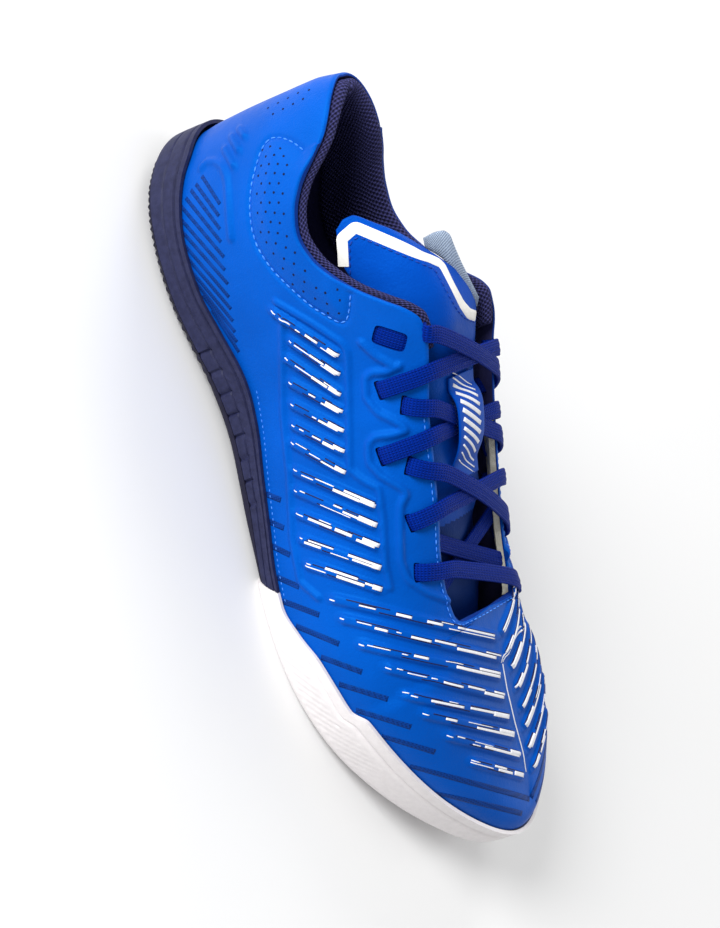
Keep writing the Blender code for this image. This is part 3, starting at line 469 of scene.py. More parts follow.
# Lace blue whose dark and light ends are painted shade in the grooves and painted highlight on the ridges
lace_blue = braid("lace_braid", (0.0004, 0.005, 0.10), (0.0012, 0.022, 0.33))
navy_knit = knit("lining_knit", (0.006, 0.005, 0.020), (0.060, 0.062, 0.210), 0.0024, 0.0019, 0.0006)
grey_knit = knit("tongue_back_knit", (0.20, 0.27, 0.40), (0.50, 0.60, 0.74), 0.0011, 0.0009, 0.00015)
navy_rubber = rubber("midsole_rubber", (0.011, 0.013, 0.046), (0.021, 0.024, 0.074), 0.58, 0.00006)
dark_rubber = rubber("heel_rubber", (0.007, 0.007, 0.023), (0.013, 0.012, 0.036), 0.64, 0.00004)
white_rubber = rubber("forefoot_rubber", (0.76, 0.725, 0.73), (0.82, 0.785, 0.79), 0.50, 0.00002)
white_ink = print_ink("white_print", (0.80, 0.81, 0.86), (0.90, 0.90, 0.94), 0.45)
band_white = print_ink("white_band", (0.86, 0.85, 0.80), (0.93, 0.92, 0.88), 0.50)
dark_ink = print_ink("dark_print", (0.004, 0.006, 0.050), (0.010, 0.015, 0.090), 0.50)
# Near-black for the perforations: painted shade inside the holes
pinhole_shade = print_ink("pinhole", (0.001, 0.004, 0.030), (0.003, 0.010, 0.060), 0.80)
thread_blue = print_ink("thread_blue", (0.020, 0.16, 0.70), (0.10, 0.34, 0.95), 0.55)
thread_deep = print_ink("thread_deep", (0.003, 0.030, 0.28), (0.010, 0.070, 0.45), 0.60)
felt = rubber("felt_edge", (0.50, 0.48, 0.38), (0.72, 0.70, 0.60), 0.90, 0.0002)
footbed = knit("footbed_knit", (0.006, 0.006, 0.020), (0.030, 0.028, 0.085), 0.0016, 0.0016, 0.0002)


def halftone(name):
    """Dark dotted screen over the blue."""
    made = finish_of(name, (0.005, 0.05, 0.35), 0.47, Specular_IOR_Level=0.3, Specular_Tint=BLUE_GLOSS)
    dots = cells(made, 1150.0, 0.0)
    shades(made, dots, 0.30, 0.60, (0.004, 0.020, 0.13), (0.004, 0.040, 0.25))
    bumps(made, ((noise(made, 700.0), 0.00008),))
    return made


screen_ink = halftone("halftone_print")


# Mesh helpers
def build(name, verts, faces, materials, uv=None, slots=None, sharp=None):
    mesh = bpy.data.meshes.new(name)
    mesh.from_pydata((np.asarray(verts, float) - CENTRE).tolist(), [], [list(map(int, f)) for f in faces])
    for made in materials:
        mesh.materials.append(made)
    if slots is not None:
        mesh.polygons.foreach_set("material_index", np.asarray(slots, np.int32))
    if uv is not None:
        corner = np.zeros(len(mesh.loops), np.int32)
        mesh.loops.foreach_get("vertex_index", corner)
        layer = mesh.uv_layers.new(name="strands")
        layer.data.foreach_set("uv", np.asarray(uv, np.float32)[corner].ravel())
    work = bmesh.new()
    work.from_mesh(mesh)
    bmesh.ops.recalc_face_normals(work, faces=work.faces)
    if work.calc_volume(signed=True) < 0:
        bmesh.ops.reverse_faces(work, faces=work.faces)
    work.to_mesh(mesh)
    work.free()
    mesh.polygons.foreach_set("use_smooth", np.ones(len(mesh.polygons), bool))
    if sharp is not None:
        mesh.set_sharp_from_angle(angle=math.radians(sharp))
    piece = bpy.data.objects.new(name, mesh)
    bpy.context.scene.collection.objects.link(piece)
    return piece


def dress(piece, slot, *nodes, fill=None):
    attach(piece, "root")
    if nodes:
        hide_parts(*nodes)
    return piece


def unit(v):
    v = np.asarray(v, float)
    return v / np.maximum(np.linalg.norm(v, axis=-1, keepdims=True), 1e-12)


def run_along(points):
    """Distance travelled at each point of a line."""
    return np.concatenate([[0], np.cumsum(np.linalg.norm(np.diff(points, axis=0), axis=1))])


def blend(want, run, values):
    """Rows of values at the wanted places of a run."""
    values = np.asarray(values)
    return np.stack([np.interp(want, run, values[:, k]) for k in range(values.shape[1])], axis=-1)


def softened(line, passes):
    """The line with every inner place eased toward its neighbours."""
    for _ in range(passes):
        line[1:-1] = (line[:-2] + 2 * line[1:-1] + line[2:]) / 4
    return line


def smooth_normals(out, passes):
    out = np.array(out)
    for _ in range(passes):
        out[1:-1] = unit(out[:-2] + out[1:-1] + out[2:])
    return out


def round_angles(count):
    return np.linspace(0, 2 * math.pi, count, endpoint=False)


def whole_faces(faces, kinds=None):
    """Faces and kinds without repeated corners, and without faces left with two."""
    kept = [(tuple(dict.fromkeys(face)), kind) for face, kind in zip(faces, kinds or [0] * len(faces))]
    kept = [(face, kind) for face, kind in kept if len(face) > 2]
    return [face for face, _ in kept], [kind for _, kind in kept]


def ring_tube(loops):
    """Vertices, faces and strand coordinates of a capped tube through closed loops."""
    loops = np.asarray(loops, float)
    n, k = loops.shape[:2]
    faces = []
    for a in range(0, (n - 1) * k, k):
        faces += [(a + c, a + (c + 1) % k, a + k + (c + 1) % k, a + k + c) for c in range(k)]
    faces += [tuple(range(k))[::-1], tuple(range((n - 1) * k, n * k))]
    around, run = run_along(loops[n // 2]), run_along(loops.mean(axis=1))
    return loops.reshape(-1, 3), faces, np.stack([np.tile(around, n), np.repeat(run, k)], axis=-1)


def carved(piece, operation, tool, sharp):
    """Piece after a boolean with a tool, with its hard edges marked."""
    cut = piece.modifiers.new("cut", "BOOLEAN")
    cut.operation, cut.object, cut.solver = operation, tool, "EXACT"
    bpy.context.view_layer.update()
    mesh = bpy.data.meshes.new_from_object(piece.evaluated_get(bpy.context.evaluated_depsgraph_get()))
    piece.modifiers.clear()
    piece.data = mesh
    mesh.set_sharp_from_angle(angle=math.radians(sharp))
    bpy.data.objects.remove(tool, do_unlink=True)
    return piece


def joined(name, parts, materials, **more):
    """One mesh from many (verts, faces) parts."""
    verts, faces, first = [], [], 0
    for part_verts, part_faces in parts:
        verts.append(np.asarray(part_verts, float))
        faces += [tuple(v + first for v in f) for f in part_faces]
        first += len(part_verts)
    return build(name, np.concatenate(verts), faces, materials, **more)


def tree_of(verts, faces):
    return BVHTree.FromPolygons(np.asarray(verts, float).tolist(), [tuple(map(int, f)) for f in faces])


def sight(px, py):
    """Start and direction of the line of sight through a point of the photograph."""
    ray = np.array([(px - VIEW_WIDTH / 2) / CAMERA_FOCAL, -(py - VIEW_HEIGHT / 2) / CAMERA_FOCAL, -1.0])
    return CAMERA_PLACE + CENTRE, unit(turn_matrix @ ray)


def soft(t):
    t = np.clip(t, 0, 1)
    return t * t * (3 - 2 * t)


def resample(points, count):
    """Evenly spaced points along a line."""
    points = np.asarray(points, float)
    run = run_along(points)
    return blend(np.linspace(0, run[-1], count), run, points)


def rounded(points, count, passes=6):
    """Evenly spaced points along a line with its corners eased."""
    return softened(resample(points, count), passes)


# Skin of the upper as an even grid
REAR_STEPS, FRONT_STEPS, SKIN_ROWS, WALL_EVERY = 272, 132, 104, 4
TURN_SAMPLES, RIB_SAMPLES = 6001, 161
CALM_PASSES, LOW_SHARE, LOW_LIMIT = 160, 0.6, 0.85
TINY = 1e-6
end_turn = float(turn_at(OPENING_END))


def even_turns():
    """Turns that lie evenly along the foot of the upper, with one at the end of the throat."""
    fine = np.linspace(0, 1, TURN_SAMPLES)
    lines = [np.stack(outline(fine, side, UPPER_INSET), axis=-1) for side in (-1, 1)]
    steps = sum(np.linalg.norm(np.diff(line, axis=0), axis=1) for line in lines)
    run = np.concatenate([[0], np.cumsum(steps)])
    middle = np.interp(end_turn, fine, run)
    rear = np.interp(np.linspace(0, middle, REAR_STEPS + 1), run, fine)
    front = np.interp(np.linspace(middle, run[-1], FRONT_STEPS + 1), run, fine)
    return np.concatenate([rear, front[1:]])


turns = even_turns()
COUNT = len(turns)
ROWS = SKIN_ROWS + 1
lift_grid = {}
for side in (-1, 1):
    steps = opening_lift(turns, side)[:, None] * np.linspace(0, 1, RIB_SAMPLES)[None, :]
    runs = np.array([run_along(rib) for rib in skin(turns[:, None], side, steps)])
    calm = softened(runs[:, -1].copy(), CALM_PASSES)
    low_ends = np.minimum(LOW_SHARE * calm, LOW_LIMIT * runs[:, -1])
    rise = np.linspace(0, 1, ROWS)
    lift_grid[side] = np.array([
        np.interp(np.interp(rise, (0, LOW_SHARE, 1), (0, low_end, run[-1])), run, step)
        for low_end, run, step in zip(low_ends, runs, steps)])

index = np.zeros((2, COUNT, ROWS), int)
index[0] = np.arange(COUNT * ROWS).reshape(COUNT, ROWS)
shared = np.zeros((COUNT, ROWS), bool)
shared[0] = shared[-1] = True
shared[turns > end_turn - TINY, -1] = True
index[1][shared] = index[0][shared]
index[1][~shared] = COUNT * ROWS + np.arange(int((~shared).sum()))
skin_verts = np.zeros((index.max() + 1, 3))
skin_lift, skin_turn, skin_side = np.zeros((3, len(skin_verts)))
for s, side in ((1, 1), (0, -1)):
    skin_verts[index[s]] = skin(turns[:, None], side, lift_grid[side])
    skin_lift[index[s]] = lift_grid[side]
    skin_turn[index[s]] = turns[:, None]
    skin_side[index[s]] = side


def grid_faces(steps=1):
    faces = []
    for s in (0, 1):
        g = index[s][::steps, ::steps]
        quads = np.stack([g[:-1, :-1], g[1:, :-1], g[1:, 1:], g[:-1, 1:]], axis=-1).reshape(-1, 4)
        faces.append(quads if s == 0 else quads[:, ::-1])
    return np.concatenate(faces)


skin_faces = grid_faces()
skin_edges = np.concatenate([skin_faces[:, pair] for pair in ([0, 1], [1, 2], [2, 3], [3, 0])])


def eased(verts, weight, passes):
    """Relaxed copy of the skin where the weight is above 0."""
    verts = verts.copy()
    count = np.bincount(skin_edges.ravel(), minlength=len(verts)).astype(float)
    for _ in range(passes):
        total = np.zeros_like(verts)
        for k in range(3):
            total[:, k] = np.bincount(skin_edges[:, 0], verts[skin_edges[:, 1], k], len(verts))
            total[:, k] += np.bincount(skin_edges[:, 1], verts[skin_edges[:, 0], k], len(verts))
        verts += (total / count[:, None] - verts) * weight[:, None]
    return verts


TOE_FROM, TOE_FADE, TOE_WEIGHT, TOE_PASSES = 0.262, 0.010, 0.8, 60
near_toe = soft((skin_verts[:, 0] - TOE_FROM) / TOE_FADE) * soft(skin_lift / 0.5) * TOE_WEIGHT
skin_verts = eased(skin_verts, near_toe, TOE_PASSES)


def mesh_normals(verts, quads):
    cross = np.cross(verts[quads[:, 2]] - verts[quads[:, 0]], verts[quads[:, 3]] - verts[quads[:, 1]])
    normals = np.zeros_like(verts)
    for c in range(4):
        for k in range(3):
            normals[:, k] += np.bincount(quads[:, c], cross[:, k], len(verts))
    normals = unit(normals)
    outward = np.sign((normals * (verts - np.array([0.15, 0.0, 0.02]))).sum())
    return normals * outward


skin_out = mesh_normals(skin_verts, skin_faces)

# Triangles of the bare skin, to find where a line of sight meets it
triangles = np.concatenate([skin_faces[:, [0, 1, 2]], skin_faces[:, [0, 2, 3]]])
bare_tree = tree_of(skin_verts, triangles)


def on_skin(px, py):
    """Turn, lift and side where the line of sight meets the bare skin, or None."""
    start, ray = sight(px, py)
    place, _, face, _ = bare_tree.ray_cast(Vector(start), Vector(ray))
    if face is None:
        return None
    a, b, c = triangles[face]
    basis = np.stack([skin_verts[b] - skin_verts[a], skin_verts[c] - skin_verts[a]], axis=-1)
    w, _, _, _ = np.linalg.lstsq(basis, np.array(place) - skin_verts[a], rcond=None)
    weights = np.array([1 - w.sum(), w[0], w[1]])
    corner = [a, b, c]
    side = skin_side[corner][np.argmax(weights)]
    return float(weights @ skin_turn[corner]), float(weights @ skin_lift[corner]), float(side)


def trace(points, step=4.0):
    """Places on the bare skin along a line drawn on the photograph."""
    points = np.asarray(points, float)
    found = [on_skin(*p) for p in resample(points, max(3, int(run_along(points)[-1] / step) + 1))]
    return [f for f in found if f is not None]


def other_side(line):
    return [(turn, lift, -side) for turn, lift, side in line]


def bare_points(line):
    return np.array([skin(turn, side, lift) for turn, lift, side in line]).reshape(-1, 3)


def both(lines):
    return lines + [other_side(line) for line in lines]


# Embossed ribs of the side panel and toe, drawn on the photograph: x0, y0, x1, y1
SIDE_RIBS = (
    (272, 310, 339, 356), (290, 340, 340, 375), (286, 357, 341, 395), (289, 381, 343, 412),
    (291, 403, 344, 432), (292, 424, 345, 452), (292, 442, 346, 473), (294, 470, 376, 506),
    (295, 490, 377, 526), (297, 513, 379, 547), (300, 539, 381, 568), (306, 564, 382, 590),
)
TOE_RIBS = (
    (330, 598, 514, 642), (340, 618, 503, 659), (359, 644, 499, 676), (385, 667, 503, 697),
    (402, 694, 508, 717), (422, 713, 513, 735), (446, 735, 519, 756), (470, 761, 522, 776),
)
SCREEN_STRIPES = (
    (266, 494, 281, 500), (268, 521, 284, 528), (272, 546, 290, 555), (277, 577, 299, 587),
    (280, 600, 319, 615), (296, 626, 339, 644), (321, 657, 362, 672), (339, 684, 388, 699),
    (356, 710, 411, 727), (382, 736, 435, 752), (410, 766, 532, 799), (436, 793, 522, 813),
)
HEEL_STRIPES = (
    (202, 176, 220, 204), (196, 184, 219, 216), (191, 190, 220, 229), (186, 198, 221, 242),
    (181, 206, 224, 257), (180, 218, 225, 270), (181, 230, 228, 284), (183, 243, 229, 297),
    (186, 256, 231, 309), (190, 269, 233, 321), (196, 282, 235, 332), (203, 295, 237, 342),
    (212, 310, 239, 352),
)
HEEL_RIDGES = ((224, 147, 235, 168), (231, 135, 240, 152), (239, 127, 246, 138))
PANEL_LINE = (
    (284, 318), (282, 330), (283, 414), (289, 475), (292, 540), (300, 582), (318, 598),
)
PANEL_RIGHT = (
    (276, 302), (310, 322), (341, 343), (347, 352), (349, 421), (350, 470), (362, 480), (379, 489),
    (383, 519), (385, 562), (390, 588),
)
EYESTAY_LINE = (
    (399, 366), (386, 372), (372, 373), (365, 378), (366, 398), (378, 413), (400, 424), (407, 430),
    (392, 435), (374, 437), (368, 445), (369, 463), (381, 476), (400, 487), (407, 493), (401, 505),
    (400, 520), (401, 562), (408, 580), (426, 592), (448, 600),
)
SLOT_CREASE = ((361, 343), (375, 356), (392, 366))
HEEL_ARCH = (
    (201, 168), (207, 162), (216, 161), (223, 167), (227, 179), (228, 197), (229, 216), (231, 238),
)
COLLAR_PANEL = (
    (303, 150), (297, 145), (289, 140), (280, 137), (271, 137), (264, 143), (259, 153), (255, 166),
    (251, 182), (249, 198), (249, 214), (251, 230), (256, 246), (264, 260), (274, 273), (286, 285),
    (299, 297), (312, 308), (325, 316), (337, 323), (343, 324), (347, 319), (349, 308), (350, 294),
)


FAR = 1e9


def nearest_on(points, path):
    """Distance to a path, the place along it, and its whole length."""
    best = np.full(len(points), FAR)
    where = np.zeros(len(points))
    run = 0.0
    for a, b in zip(path[:-1], path[1:]):
        ab = b - a
        t = np.clip((points - a) @ ab / (ab @ ab), 0, 1)
        gap = np.linalg.norm(points - a - t[:, None] * ab, axis=1)
        closer = gap < best
        best[closer] = gap[closer]
        where[closer] = run + t[closer] * np.linalg.norm(ab)
        run += np.linalg.norm(ab)
    return best, where, run


def ridge(points, lines, width, height, power=1.0, taper=0.0):
    """Soft raised bars along lines; a taper eases both ends over that distance."""
    field = np.zeros(len(points))
    for line in lines:
        path = resample(bare_points(line), max(4, len(line)))
        low, high = path.min(axis=0) - width, path.max(axis=0) + width
        near = np.where(np.all((points > low) & (points < high), axis=1))[0]
        if not len(near):
            continue
        gap, where, run = nearest_on(points[near], path)
        bar = soft((1 - gap / width) * power)
        if taper:
            bar *= soft(np.minimum(where, run - where) / taper + 0.35)
        field[near] = np.maximum(field[near], bar * height)
    return field


def straight(rows, step=4.0):
    return [trace(((a, b), (c, d)), step) for a, b, c, d in rows]


side_lines = straight(SIDE_RIBS)
toe_lines = [[p for p in line if p[2] < 0] for line in straight(TOE_RIBS)]
panel_lines = [trace(PANEL_LINE), trace(PANEL_RIGHT)]
collar_line = trace(COLLAR_PANEL, 3.0)

# Relief in metres: lines, width, height, power, then the taper of ribs
relief = ridge(skin_verts, both(side_lines), 0.0023, 0.00150, 2.0, 0.0020)
relief = np.maximum(relief, ridge(skin_verts, both(toe_lines), 0.0024, 0.00130, 1.8, 0.0030))
relief = np.maximum(relief, ridge(skin_verts, both(straight(HEEL_RIDGES)), 0.0018, 0.0012, 1.6, 0.002))
relief += ridge(skin_verts, both(panel_lines), 0.0018, 0.00100, 1.3)
relief += ridge(skin_verts, both([trace(EYESTAY_LINE), trace(SLOT_CREASE)]), 0.0020, 0.00125, 1.3)
relief += ridge(skin_verts, both([trace(HEEL_ARCH)]), 0.0024, 0.00110)

# The padded collar panel swells inside its seam, and the seam lies in a groove
ABOVE_EDGE, BEHIND_RING = 1.9, 0.02
PANEL_SWELL, SWELL_REACH = 0.0014, 0.009
SEAM_DEPTH, SEAM_REACH = 0.0007, 0.0015


def inside_panel():
    """Which places of the skin lie inside the collar panel, by turn and lift."""
    ring = np.array([(turn, lift) for turn, lift, _ in collar_line])
    closing = [(ring[-1, 0] - BEHIND_RING, ABOVE_EDGE), (ring[0, 0], ABOVE_EDGE)]
    polygon = np.concatenate([ring, closing])
    x, y = skin_turn, skin_lift
    found = np.zeros(len(x), bool)
    for (x0, y0), (x1, y1) in zip(polygon, np.roll(polygon, -1, axis=0)):
        crosses = (y0 > y) != (y1 > y)
        with np.errstate(divide="ignore", invalid="ignore"):
            at = x0 + (y - y0) / (y1 - y0) * (x1 - x0)
        found ^= crosses & (x < at)
    return found


def panel_seam(side):
    return [(turn, lift, side) for turn, lift, _ in collar_line]


ring_gap = np.full(len(skin_verts), FAR)
for side in (-1, 1):
    own = skin_side == side
    ring_gap[own] = nearest_on(skin_verts[own], bare_points(panel_seam(side)))[0]
relief += np.where(inside_panel(), PANEL_SWELL * soft(ring_gap / SWELL_REACH), 0.0)
relief -= SEAM_DEPTH * soft(1 - ring_gap / SEAM_REACH)

# Raised line over the ridge of the toe
SPINE_FROM, SPINE_TO, SPINE_HEIGHT = 0.208, 0.268, 0.0004
spine_gap = np.abs(math.pi / 2 - skin_lift) * 0.03
spine_here = soft((skin_verts[:, 0] - SPINE_FROM) / 0.004) * soft((SPINE_TO - skin_verts[:, 0]) / 0.006)
relief += SPINE_HEIGHT * soft(1 - spine_gap / 0.0016) * spine_here

# Gentle hollows and rises where the empty shoe gives a little: share, lift, side, reach, depth
HOLLOWS = (
    (0.60, 0.50, -1, 0.022, 0.0005), (0.72, 0.90, -1, 0.020, -0.0004), (0.36, 0.55, -1, 0.020, 0.0005),
    (0.55, 0.60, 1, 0.024, 0.0006), (0.20, 0.35, 1, 0.020, 0.0004), (0.84, 0.70, 1, 0.018, -0.0004),
)
for share, lift, side, reach, depth in HOLLOWS:
    centre = skin(float(turn_at(share)), side, lift)
    relief -= depth * np.exp(-(np.linalg.norm(skin_verts - centre, axis=1) / reach) ** 2)

fade_low = soft((skin_lift - 0.02) / 0.05)
moved = skin_verts + skin_out * (relief * fade_low)[:, None]

# The collar and throat edge folds over: the last rows turn in
EDGE_FOLDS = ((0, 0.0007), (1, 0.0002))
open_ribs = turns < end_turn + TINY
fold = np.zeros(len(skin_verts))
for s in (0, 1):
    for back, depth in EDGE_FOLDS:
        fold[index[s][open_ribs, ROWS - 1 - back]] = depth
moved = moved - skin_out * fold[:, None]

# Closed wall: outer skin, foot strip, inner skin on every fourth line, thinner toward the edge
EDGE_WALL, WALL_STEP, THIN_ROWS = 0.0013, 0.0001, 9
coarse = index[:, ::WALL_EVERY, ::WALL_EVERY]
thin = np.full(len(skin_verts), UPPER_WALL)
for s in (0, 1):
    for back in range(THIN_ROWS):
        rows_here = index[s][open_ribs, ROWS - 1 - back]
        thin[rows_here] = np.minimum(thin[rows_here], EDGE_WALL + WALL_STEP * back)
inner = skin_verts - skin_out * thin[:, None]
used = np.unique(coarse)
inner_of = np.full(len(skin_verts), -1)
inner_of[used] = len(moved) + np.arange(len(used))
verts = np.concatenate([moved, inner[used]])
faces = [tuple(q) for q in skin_faces]
slots = [0] * len(faces)
for q in grid_faces(WALL_EVERY):
    faces.append(tuple(inner_of[q][::-1]))
    slots.append(1)
# Foot strip in the lining knit; the strip along the opening edge in the darker blue, painted shade at the
# fold
for s in (0, 1):
    for i in range(0, COUNT - 1, WALL_EVERY):
        stop = i + WALL_EVERY
        for row, slot, wanted in ((0, 1, True), (-1, 2, open_ribs[stop])):
            if wanted:
                edge = index[s][i:stop + 1, row]
                faces.append(tuple(edge) + (inner_of[edge[-1]], inner_of[edge[0]]))
                slots.append(slot)
faces, slots = whole_faces(faces, slots)
upper = build("upper_shell", verts, faces, (blue, navy_knit, edge_shade_blue), slots=slots)
dress(upper, "upper_synthetic", "upper")
dressed_tree = tree_of(moved, triangles)


def seat(line, lift_off=0.0):
    """Points and outward normals on the dressed skin below a line of bare-skin places."""
    marks = np.array(line, float)
    place, out = (np.array([at(turn, side, lift) for turn, lift, side in marks]).reshape(-1, 3)
                  for at in (skin, skin_normal))
    return drop(place, out, lift_off), out


DROP_FROM, DROP_REACH = 0.004, 0.010


def drop(place, out, lift_off=0.0, tree=None):
    """Points moved along their normals onto the dressed skin."""
    seated = np.array(place, float)
    for k, (p, n) in enumerate(zip(place, out)):
        hit = (tree or dressed_tree).ray_cast(Vector(p + n * DROP_FROM), Vector(-n), DROP_REACH)[0]
        if hit is not None:
            seated[k] = np.array(hit)
        seated[k] += n * lift_off
    return seated


# Prints: thin solids set into the skin
PRINT_RISE, PRINT_DEPTH = 0.00013, 0.00040


def stripe(path, out, widths, tree=None, rise=PRINT_RISE):
    """Vertices and faces of a thin printed strip along seated points."""
    path, out = np.asarray(path, float), unit(out)
    ahead = unit(np.gradient(path, axis=0))
    across = unit(np.cross(ahead, out))
    widths = np.broadcast_to(widths, len(path))
    rows = [drop(path + across * widths[:, None] / 2 * k, out, rise, tree) for k in (1, 0.5, 0, -0.5, -1)]
    sink = out * (rise + PRINT_DEPTH)
    return ring_tube(np.stack(rows + [rows[-1] - sink, rows[0] - sink], axis=1))[:2]


DASH_STEP = 0.0008


def dash_on(line, start, stop, offset, width, rise=PRINT_RISE):
    """Dash between two shares of a line of skin places, shifted sideways in metres."""
    run = np.linspace(0, 1, len(line))
    base, out = seat(line)
    count = max(4, int((stop - start) * run_along(base)[-1] / DASH_STEP) + 1)
    want = np.linspace(start, stop, count)
    path = blend(want, run, base)
    normals = unit(blend(want, run, out))
    ahead = unit(np.gradient(path, axis=0))
    side = line[0][2]
    path = path + unit(np.cross(normals, ahead)) * offset * -side
    return stripe(drop(path, normals), normals, np.full(count, width), None, rise)


# White dashes of a rib: share from, share to, sideways and width in millimetres
RIB_DASHES = (
    ((0.00, 0.08, 0, .5), (.15, .30, 0, .6), (.38, .45, -.4, .5), (.52, .70, 0, .9),
     (.76, .98, -.7, .4), (.84, 1.0, .2, 1.3)),
    ((-.0, .06, 0, .4), (.12, .42, .1, .5), (.42, .70, .2, .8), (.66, .95, -.6, .4), (.72, 1.0, .3, 1.4)),
    ((0.00, .07, 0, .5), (.20, .50, 0, .5), (.50, .78, -.1, 1.0), (.70, .93, .9, .4),
     (.80, 1.0, .1, 1.4)),
    ((.02, .09, 0, .5), (.40, .52, 0, .7), (.64, .96, -.7, .7), (.70, 1.0, .2, 1.3)),
    ((.02, .09, 0, .5), (.44, .52, -.2, .5), (.56, .92, -.3, .8), (.72, 1.0, .5, 1.4)),
    ((.02, .09, 0, .5), (.18, .26, .1, .5), (.42, .58, 0, .7), (.62, .84, -.3, 1.2), (.80, 1.0, .3, 1.4)),
    ((0.00, .08, 0, .5), (.10, .30, .8, .4), (.36, .56, 0, .4), (.58, .88, -.4, .7), (.82, 1.0, .2, 1.6)),
    ((0.00, .06, .4, .5), (.12, .26, -.2, .5), (.28, .50, .6, .5), (.50, .82, -.5, 1.1),
     (.62, .98, .7, .9), (.82, 1.0, -.1, 1.5)),
    ((0.00, .05, 0, .5), (.08, .14, .8, .5), (.34, .70, -.9, .4), (.48, .58, .9, .7),
     (.60, .96, 0, .8), (.78, 1.0, .3, 1.9)),
    ((0.00, .10, 0, .5), (.16, .44, 0, .9), (.28, .42, 1.1, .4), (.48, .68, .1, 1.2),
     (.74, .96, -.5, 1.0), (.80, 1.0, .5, 1.6)),
    ((0.00, .05, .6, .5), (.08, .28, -.3, .9), (.12, .42, .8, .7), (.40, .62, -.8, .4),
     (.66, .96, -.4, .8), (.60, 1.0, .6, .9), (.90, 1.0, 0, 1.9)),
    ((0.00, .28, -.5, .5), (.02, .08, .5, .5), (.26, .68, 1.0, .9), (.42, .78, -.4, 1.1),
     (.78, .98, .5, .8), (.88, 1.0, .2, 1.8)),
)
TOE_DASHES = (
    ((.0, .035, -.5, .6), (.18, .28, 0, .7), (.40, .49, 0, 1.0), (.58, .67, 0, 1.0),
     (.66, .73, .9, .4), (.71, .98, -.8, .5), (.76, .98, .3, .8)),
    ((.0, .03, 0, .6), (.11, .20, .3, .5), (.22, .30, -.3, .9), (.35, .38, .2, .5),
     (.44, .56, -.2, .9), (.58, .71, .5, .8), (.72, .96, -.5, 1.1), (.90, .99, .7, .7)),
    ((.0, .04, 0, .6), (.06, .22, .5, .5), (.30, .34, .2, .5), (.38, .48, .5, .9),
     (.60, .72, .9, .4), (.68, .99, -.4, 1.1), (.84, .99, .8, 1.0)),
    ((.0, .05, 0, .5), (.09, .14, .8, .5), (.18, .34, .2, .5), (.38, .43, .1, .5),
     (.48, .64, -.2, .8), (.68, .82, .5, .8), (.82, .98, -.3, 1.2), (.90, 1.0, .9, .8)),
    ((.0, .06, .7, .5), (.08, .14, 0, .6), (.26, .56, 0, .9), (.42, .50, 1.0, .4),
     (.62, .96, .3, .9), (.84, .98, 0, 1.8)),
    ((.0, .06, 0, .5), (.24, .36, .2, .9), (.48, .74, .8, .4), (.58, .98, -.5, .9), (.82, .98, .5, 1.4)),
    ((.0, .07, 0, .5), (.12, .22, .8, .6), (.34, .44, -.5, .5), (.36, .60, .6, .4),
     (.50, .96, -.2, 1.0), (.84, .98, .7, 1.5)),
    ((.0, .40, -.3, .5), (.0, .14, .5, .5), (.50, .76, -.2, 1.0), (.42, .64, .8, .8),
     (.80, .98, .2, 1.7)),
)
# Dashes and the dark lines beside them: widths and offsets in millimetres, rises in metres
NARROW, NARROW_SHARE, WIDE_SHARE = 0.75, 0.72, 0.92
DASH_RISE, RISE_STEP = 0.00017, 0.00002
SHADOW_FROM, SHADOW_OFFSET, SHADOW_END = 0.6, 0.15, 0.99
SHADOW_WIDTH, SHADOW_RISE = 0.35, 0.00011
LOOSE_WIDTH, LOOSE_RISE = 0.40, 0.00009
LOOSE_SHADOWS = ((0.10, 0.36, 0.9), (0.30, 0.62, -0.9), (0.62, 0.80, 1.2))


def printed(name, parts, ink, **more):
    dress(joined(name, parts, (ink,), **more), "upper_synthetic")


dashes, shadows = [], []
for line, chart in list(zip(side_lines, RIB_DASHES)) + list(zip(toe_lines, TOE_DASHES)):
    for own in (line, other_side(line)):
        for level, (start, stop, offset, width) in enumerate(chart):
            slim = width * (NARROW_SHARE if width < NARROW else WIDE_SHARE)
            rise = DASH_RISE + RISE_STEP * level
            dashes.append(dash_on(own, start, stop, offset * MM, slim * MM, rise))
            if width > SHADOW_FROM:
                beside = (offset + width / 2 + SHADOW_OFFSET) * MM
                stop = min(stop, SHADOW_END)
                shadows.append(dash_on(own, start, stop, beside, SHADOW_WIDTH * MM, SHADOW_RISE))
        for start, stop, offset in LOOSE_SHADOWS:
            shadows.append(dash_on(own, start, stop, offset * MM, LOOSE_WIDTH * MM, LOOSE_RISE))
printed("print_dashes", dashes, white_ink)
printed("print_shadows", shadows, dark_ink)

# White line along the ridge of the toe, drawn on the photograph, with its shares, offsets and widths
SPINE_PX = ((520, 628), (501, 660), (506, 688), (514, 722), (522, 752), (526, 772))
SPINE_DASHES = ((0.0, 0.26, 0.7, 0.5), (0.0, 0.26, -0.5, 0.45), (0.27, 1.0, 0, 0.45))
spine_line = trace(SPINE_PX, 2.0)
printed("spine_print", [dash_on(spine_line, start, stop, offset * MM, width * MM)
                        for start, stop, offset, width in SPINE_DASHES], white_ink)

# Dotted screen stripes by the sole edge
SCREEN_WIDTH, HEEL_WIDTH, SCREEN_RISE = 2.1, 1.45, 0.00007
screens = []
for rows, width in ((SCREEN_STRIPES, SCREEN_WIDTH), (HEEL_STRIPES, HEEL_WIDTH)):
    for line in straight(rows, 3.0):
        for own in (line, other_side(line)):
            same = [p for p in own if p[2] == own[0][2]]
            screens.append(dash_on(same, 0.0, 1.0, 0.0, width * MM, SCREEN_RISE))
printed("screen_stripes", screens, screen_ink)


